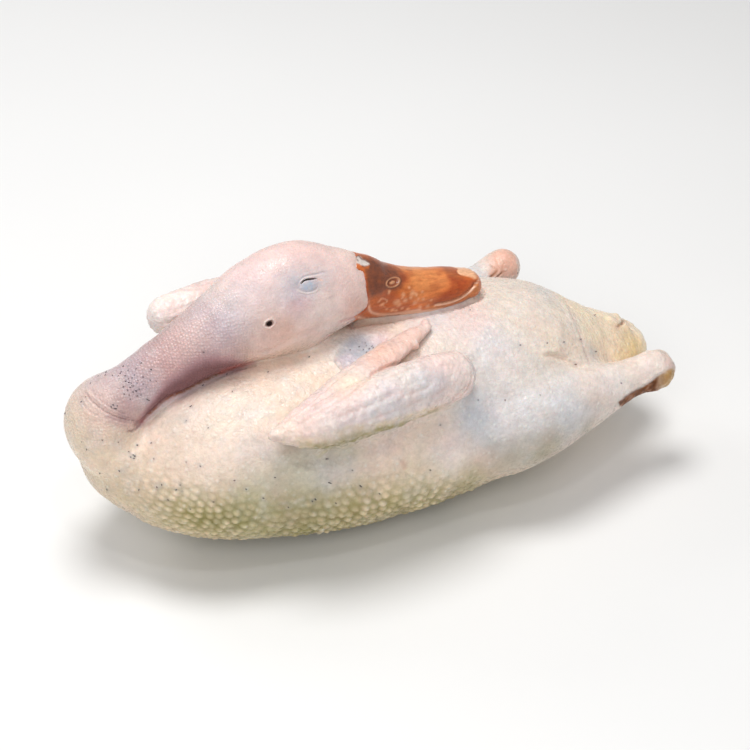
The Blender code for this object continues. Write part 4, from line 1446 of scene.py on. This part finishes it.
class HornGrid:
    """The bill's surface as rings of points, on the skin at its base and on its own loft further out."""

    SIDES = 180
    STEPS = 32
    START = -18
    BLEND = (2.0, 16.0)
    SEEN_TURNS = (-48, 78)

    def __init__(self, carrier):
        self.rings = lofted_rings(BILL, ROLLED, self.STEPS, self.SIDES)
        self.centres = self.rings.mean(axis=1)
        steps = np.linalg.norm(np.diff(self.centres, axis=0), axis=1)
        self.travelled = np.concatenate([[0], np.cumsum(steps)])
        self.turns = (np.arange(self.SIDES) * 360 / self.SIDES + 180) % 360 - 180
        for i, centre in enumerate(self.centres):
            if self.START < centre[0] < self.BLEND[1]:
                for k in range(self.SIDES):
                    self.rings[i, k] = self.on_skin(carrier, centre, self.rings[i, k], self.turns[k])
        self.edge = self.edge_distances()

    def flat(self):
        return self.rings.reshape(-1, 3)

    def on_skin(self, carrier, centre, point, turn):
        """A ring's point moved onto the skin near the bill's base, and left on the loft further out."""
        outwards = Vector(point - centre)
        reach = outwards.length
        hit, _, _, distance = carrier.tree.ray_cast(Vector(centre), outwards.normalized())
        most = 1.05 if -150 < turn < -40 else 1.3
        distance = reach if hit is None else min(max(distance, 0.85 * reach), most * reach)
        t = float(smooth_step(centre[0], *self.BLEND))
        return centre + np.array(outwards.normalized()) * (distance + (reach - distance) * t)

    def edge_distances(self):
        """How far along the bill its horn begins, at each of the angles round it."""
        edge = sorted((y, x) for x, y in smooth_rows(BILL_EDGE, 4))
        starts = np.zeros(self.SIDES)
        low, high = self.SEEN_TURNS
        seen = [k for k in range(self.SIDES) if low <= self.turns[k] <= high]
        for k in seen:
            across, down = pixels_of(self.rings[:, k])
            beyond = across > np.interp(down, [e[0] for e in edge], [e[1] for e in edge])
            starts[k] = self.travelled[int(np.argmax(beyond))]
        by_turn = sorted((self.turns[k], starts[k]) for k in seen)
        folded = np.where(self.turns > 90, 180 - self.turns, self.turns)
        folded = np.where(folded < -90, -180 - folded, folded)
        return np.interp(folded, [t for t, _ in by_turn], [start for _, start in by_turn])

    def offsets(self):
        """How far the horn stands off the skin: it rises over its edge and dips under the skin behind it."""
        beyond = self.travelled[:, None] - self.edge[None, :]
        return (0.35 - 2.8 * fall(beyond, -1.6, 0.3)).ravel()

    def beyond_edge(self, points):
        """How far each point of the skin lies beyond the horn's edge, far below 0 away from the bill."""
        made = np.full(len(points), -99.0)
        x, y, z = points.T
        near = np.flatnonzero((x > self.START) & (z > 90) & (np.abs(y - 13) < 30))
        tree = BVHTree.FromPolygons(self.flat().tolist(), tube_faces(len(self.rings), self.SIDES))
        for index in near:
            hit, _, _, distance = tree.find_nearest(Vector(points[index]))
            if distance > 4.0:
                continue
            ring = int(np.argmin(np.linalg.norm(self.centres - np.array(hit), axis=1)))
            first = max(ring - 18, 0)
            around = np.linalg.norm(self.rings[first : ring + 18] - np.array(hit), axis=2)
            row, side = np.unravel_index(int(np.argmin(around)), around.shape)
            made[index] = self.travelled[first + row] - self.edge[side]
        return made


def nostril_reach(points, carrier):
    """How far each point lies from the middle of the nearest nostril, as a share of its oval ring."""
    both = [oval_in_view(side, carrier, *NOSTRIL) for side in (points, reflected(points))]
    return np.minimum(*both)


def nostril_relief(reach):
    """An oval ring round a sunken floor, with a low swelling in it."""
    floor = fall(reach, 0.6, 0.95)
    swelling = 0.8 * bell(reach / 0.45)
    return 0.4 * bell((reach - 1.0) / 0.14) - 1.0 * floor + swelling + 0.35 * bell(reach / 1.8)


def bill_colours(points, carrier, reach):
    """The horn's colours: fields, ragged areas and lines, pale mottles, and the rings of the nostrils."""

    def blended(colour, tint, amount):
        return mixed(colour, tint, amount, HORN_TINTS)

    far = (points - HEAD_MIDDLE) @ HEAD_SIDE < 0
    side = np.where(far[:, None], reflected(points), points)
    base = np.tile(np.array(HORN_TINTS["orange"]), (len(points), 1))
    colour = painted(side, carrier, base, BILL_PLACES, mirrored=False, tints=HORN_TINTS)
    colour = blended(colour, "deep", 0.35 * smooth_step(value_noise(points, 3.2, 44), 0.1, 0.8))
    streaks = value_noise(points * (0.22, 1, 1), 1.7, 45)
    colour = colour * (1 + 0.16 * streaks[:, None])
    spots = value_noise(points, 2.2, 42) + 0.5 * value_noise(points, 1.2, 43)
    ragged_side = side + 0.4 * np.stack([value_noise(points, 1.1, seed) for seed in (46, 47, 48)], axis=1)
    for outline, tint, strength, soft in BILL_PATCHES:
        ragged = strength * (1 + 0.2 * spots) if soft > 2 else strength
        where = ragged_side if tint in ("white", "dark", "brown") else side
        near_only = ~far if tint == "white" else 1.0
        colour = blended(colour, tint, ragged * near_only * patch(where, carrier, outline, soft))
    for *pixel, radius in MOTTLES:
        distance = np.linalg.norm(ragged_side - carrier.seen_at(pixel)[0], axis=1) / radius
        colour = blended(colour, "mottle", 0.8 * np.exp(-(distance**2.5)))
    for pixels, tint, width, strength in BILL_LINES:
        where = side if tint == "rim" else ragged_side
        colour = lined(colour, where, carrier, pixels, tint, width, strength, tints=HORN_TINTS)
    # Painted shade in the nostril: brown on its sunken floor and a dark ring just outside its rim
    colour = blended(colour, "brown", 0.8 * fall(reach, 0.8, 0.95))
    colour = blended(colour, "dark", 0.7 * bell((reach - 1.25) / 0.16))
    colour = blended(colour, "mottle", (0.7 + 0.25 * spots) * bell((reach - 1.0) / 0.11))
    return blended(colour, "mottle", 0.65 * fall(reach, 0.3, 0.5))


def build_bill(horn):
    """The horn of the bill, with nostrils, nail, mouth and rims."""
    bill = new_object("bill", new_mesh("bill", horn.flat(), tube_faces(len(horn.rings), horn.SIDES)))
    carrier = Carrier(bill)
    points = points_of(bill)
    reach = nostril_reach(points, carrier)
    nail = carrier.seen_at(NAIL)[0]
    rise = horn.offsets() + nostril_relief(reach)
    rise += 0.25 * fall(np.linalg.norm(points - nail, axis=1), 4.5, 6.0)
    rise += 0.12 * value_noise(points, 5, 41)
    for side in (points, reflected(points)):
        add_folds(rise, side, carrier, BILL_FOLDS.values(), taper=0.1)
    raise_points(bill, rise)
    store_colours(bill, "tone", bill_colours(points, carrier, reach))
    return bill


# Materials


class Nodes:
    """A short way to add and link the nodes of a material. Patterns lie in the object's own coordinates."""

    def __init__(self, name):
        self.material = bpy.data.materials.new(name)
        self.material.use_nodes = True
        self.tree = self.material.node_tree
        self.shader = self.tree.nodes["Principled BSDF"]
        self.coordinates = self.add("ShaderNodeTexCoord").outputs["Object"]

    def add(self, kind, inputs=(), **settings):
        node = self.tree.nodes.new(kind)
        for key, value in settings.items():
            setattr(node, key, value)
        for key, value in dict(inputs).items():
            self.feed(node.inputs[key], value)
        return node

    def feed(self, socket, value):
        if isinstance(value, bpy.types.NodeSocket):
            self.tree.links.new(value, socket)
        else:
            socket.default_value = value

    def shade(self, name, value):
        """Gives the shader's socket of this name a value or another socket."""
        self.feed(self.shader.inputs[name], value)

    def painted(self, layer):
        """The colours stored on the mesh under a name."""
        return self.add("ShaderNodeVertexColor", layer_name=layer).outputs["Color"]

    def channels(self, colour):
        return self.add("ShaderNodeSeparateColor", {0: colour}).outputs

    def grey(self, value):
        return self.add("ShaderNodeCombineColor", {0: value, 1: value, 2: value}).outputs[0]

    def noise(self, scale, detail):
        return self.noise_at(self.coordinates, scale, detail)

    def noise_at(self, coordinates, scale, detail):
        inputs = {"Vector": coordinates, "Scale": scale, "Detail": detail}
        return self.add("ShaderNodeTexNoise", inputs).outputs["Fac"]

    def stretched_noise(self, scales, detail):
        """Noise with its own scale along each of the three axes."""
        mapping = self.add("ShaderNodeMapping", {"Vector": self.coordinates, "Scale": scales})
        return self.noise_at(mapping.outputs[0], 1.0, detail)

    def cells(self, scale, randomness):
        """Distance to the nearest of many scattered points."""
        inputs = {"Vector": self.coordinates, "Scale": scale, "Randomness": randomness}
        return self.add("ShaderNodeTexVoronoi", inputs).outputs["Distance"]

    def math(self, operation, a, b):
        return self.add("ShaderNodeMath", {0: a, 1: b}, operation=operation).outputs[0]

    def product(self, a, b):
        return self.math("MULTIPLY", a, b)

    def total(self, *terms):
        """The sum of several values, each times its weight."""
        made = None
        for value, weight in terms:
            term = self.product(value, weight)
            made = term if made is None else self.math("ADD", made, term)
        return made

    def mix(self, blend, amount, a, b):
        node = self.add("ShaderNodeMix", data_type="RGBA", blend_type=blend)
        self.feed(node.inputs[0], amount)
        self.feed(node.inputs[6], a)
        self.feed(node.inputs[7], b)
        return node.outputs[2]

    def spread(self, value, low, high, to_low, to_high):
        """The value's span from low to high spread over another span, and held at its ends."""
        inputs = {0: value, 1: low, 2: high, 3: to_low, 4: to_high}
        return self.add("ShaderNodeMapRange", inputs).outputs[0]

    def relief(self, height, distance, strength):
        """Bends the shader's normals by a height, in metres of relief at a height of 1."""
        inputs = {"Height": height, "Distance": distance, "Strength": strength}
        self.shade("Normal", self.add("ShaderNodeBump", inputs).outputs[0])


def skin_material():
    """Moist skin: the stored tones, varied, with relief for net, wrinkles and pores."""
    nodes = Nodes("skin")
    tone = nodes.painted("tone")
    net_amount, wrinkle_amount, pore_amount = nodes.channels(nodes.painted("grain"))
    darkness = nodes.channels(tone)[1]
    net = nodes.cells(640.0, 0.4)
    pores = nodes.cells(230.0, 0.75)
    creases = nodes.noise(380.0, 4.0)

    broad = nodes.spread(nodes.noise(140.0, 4.0), 0.3, 0.7, 0.91, 1.08)
    colour = nodes.mix("MULTIPLY", 1.0, tone, nodes.grey(broad))
    finer = nodes.spread(nodes.noise(420.0, 3.0), 0.3, 0.7, 0.93, 1.07)
    colour = nodes.mix("MULTIPLY", nodes.spread(pore_amount, 0.2, 0.9, 0.35, 1.0), colour, nodes.grey(finer))
    flush = nodes.spread(nodes.noise(60.0, 3.0), 0.45, 0.75, 0.0, 0.16)
    flush = nodes.product(flush, nodes.spread(darkness, 0.15, 0.45, 0.0, 1.0))
    colour = nodes.mix("MIX", flush, colour, (0.80, 0.50, 0.46, 1))
    # Pale dots at the pores: partly the follicles' own paler tone, partly painted highlight on the wet skin
    pale = nodes.product(nodes.spread(pores, 0.05, 0.3, 0.4, 0.0), pore_amount)
    colour = nodes.mix("MIX", pale, colour, (0.88, 0.84, 0.78, 1))
    dots = nodes.product(nodes.spread(net, 0.15, 0.6, 0.0, 0.3), net_amount)
    nodes.shade("Base Color", nodes.mix("MIX", dots, colour, (0.22, 0.10, 0.11, 1)))

    height = nodes.total(
        (nodes.noise(900.0, 3.0), 0.5),
        (nodes.product(nodes.spread(net, 0.1, 0.6, 1.0, 0.0), net_amount), 0.6),
        (nodes.product(nodes.stretched_noise((640.0, 110.0, 110.0), 2.0), wrinkle_amount), 1.4),
        (creases, nodes.spread(pore_amount, 0.2, 0.9, 0.4, 0.8)),
        (nodes.product(nodes.spread(pores, 0.0, 0.35, 1.0, 0.0), pore_amount), 0.45),
    )
    nodes.relief(height, 0.0009, 0.65)
    nodes.shade("Roughness", nodes.spread(creases, 0.35, 0.65, 0.18, 0.44))
    nodes.shade("Specular IOR Level", nodes.spread(darkness, 0.1, 0.45, 0.1, 0.42))
    nodes.shade("Subsurface Weight", nodes.spread(darkness, 0.08, 0.4, 0.02, 0.22))
    nodes.shader.inputs["Subsurface Radius"].default_value = (1.0, 0.45, 0.3)
    nodes.shader.inputs["Subsurface Scale"].default_value = 0.0016
    return nodes.material


def bill_material():
    """Smooth horn with fine streaks along it."""
    nodes = Nodes("bill_horn")
    streaks = nodes.stretched_noise((150.0, 800.0, 800.0), 4.0)
    specks = nodes.noise(1500.0, 3.0)
    shade = nodes.spread(nodes.total((streaks, 1.0), (specks, 0.6)), 0.5, 1.1, 0.78, 1.2)
    nodes.shade("Base Color", nodes.mix("MULTIPLY", 1.0, nodes.painted("tone"), nodes.grey(shade)))
    nodes.relief(nodes.total((streaks, 0.6), (specks, 0.5)), 0.0003, 0.5)
    nodes.shade("Roughness", nodes.spread(specks, 0.3, 0.7, 0.26, 0.4))
    nodes.shader.inputs["Coat Weight"].default_value = 0.25
    nodes.shader.inputs["Coat Roughness"].default_value = 0.2
    return nodes.material


def pin_material():
    """Dark quill, from blue-black to brown."""
    nodes = Nodes("pin_quill")
    tint = nodes.spread(nodes.noise(60.0, 2.0), 0.35, 0.65, 0.0, 1.0)
    nodes.shade("Base Color", nodes.mix("MIX", tint, (0.012, 0.014, 0.025, 1), (0.07, 0.03, 0.02, 1)))
    nodes.shader.inputs["Roughness"].default_value = 0.35
    return nodes.material


def floor_material():
    nodes = Nodes("floor")
    nodes.shade("Base Color", nodes.grey(nodes.spread(nodes.noise(3.0, 2.0), 0.3, 0.7, 0.86, 0.88)))
    nodes.shader.inputs["Roughness"].default_value = 0.8
    return nodes.material


# Camera, light and floor


def add_camera():
    camera = new_object("camera", bpy.data.cameras.new("camera"))
    camera.data.sensor_width = SENSOR
    camera.data.lens = FOCAL_PIXELS * SENSOR / PHOTO_SIZE
    camera.data.clip_start, camera.data.clip_end = 0.05, 20.0
    axes = Matrix([RIGHT, UP, BACK]).transposed().to_4x4()
    camera.matrix_world = Matrix.Translation((EYE_POINT + ROW_TO_FRAME) * MM) @ axes
    bpy.context.scene.camera = camera


def add_lamp(name, position, size, watts, colour):
    light = new_object(name, bpy.data.lights.new(name, "AREA"))
    light.data.shape = "DISK"
    light.data.size = size
    light.data.energy = watts
    light.data.color = colour
    light.location = position
    direction = Vector(LIT_POINT) - Vector(position)
    light.rotation_mode = "QUATERNION"
    light.rotation_quaternion = direction.to_track_quat("-Z", "Y")


def add_surroundings():
    """The white sky, the lamps and the floor."""
    scene = bpy.context.scene
    scene.view_settings.view_transform = "Standard"
    world = bpy.data.worlds.new("studio")
    scene.world = world
    world.use_nodes = True
    background = world.node_tree.nodes["Background"]
    background.inputs["Color"].default_value = (1.0, 1.0, 1.0, 1)
    background.inputs["Strength"].default_value = SKY_STRENGTH
    for lamp in LAMPS:
        add_lamp(*lamp)
    floor = new_object("floor", new_mesh("floor", FLOOR_CORNERS, [(0, 1, 2, 3)]))
    floor.data.materials.append(floor_material())


def main():
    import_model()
    add_camera()
    add_surroundings()
    skin, horn = build_skin()
    near_wing, near_carrier = build_wing("near_wing", NEAR_WING)
    far_wing, _ = build_wing("far_wing", FAR_WING, near_carrier)
    bill = build_bill(horn)
    pins = build_pins(skin)
    skin_look = skin_material()
    looks = [(piece, skin_look) for piece in (skin, near_wing, far_wing)]
    for piece, look in (*looks, (bill, bill_material()), (pins, pin_material())):
        piece.data.materials.clear()
        piece.data.materials.append(look)
        place(piece)
    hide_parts("duck")


main()
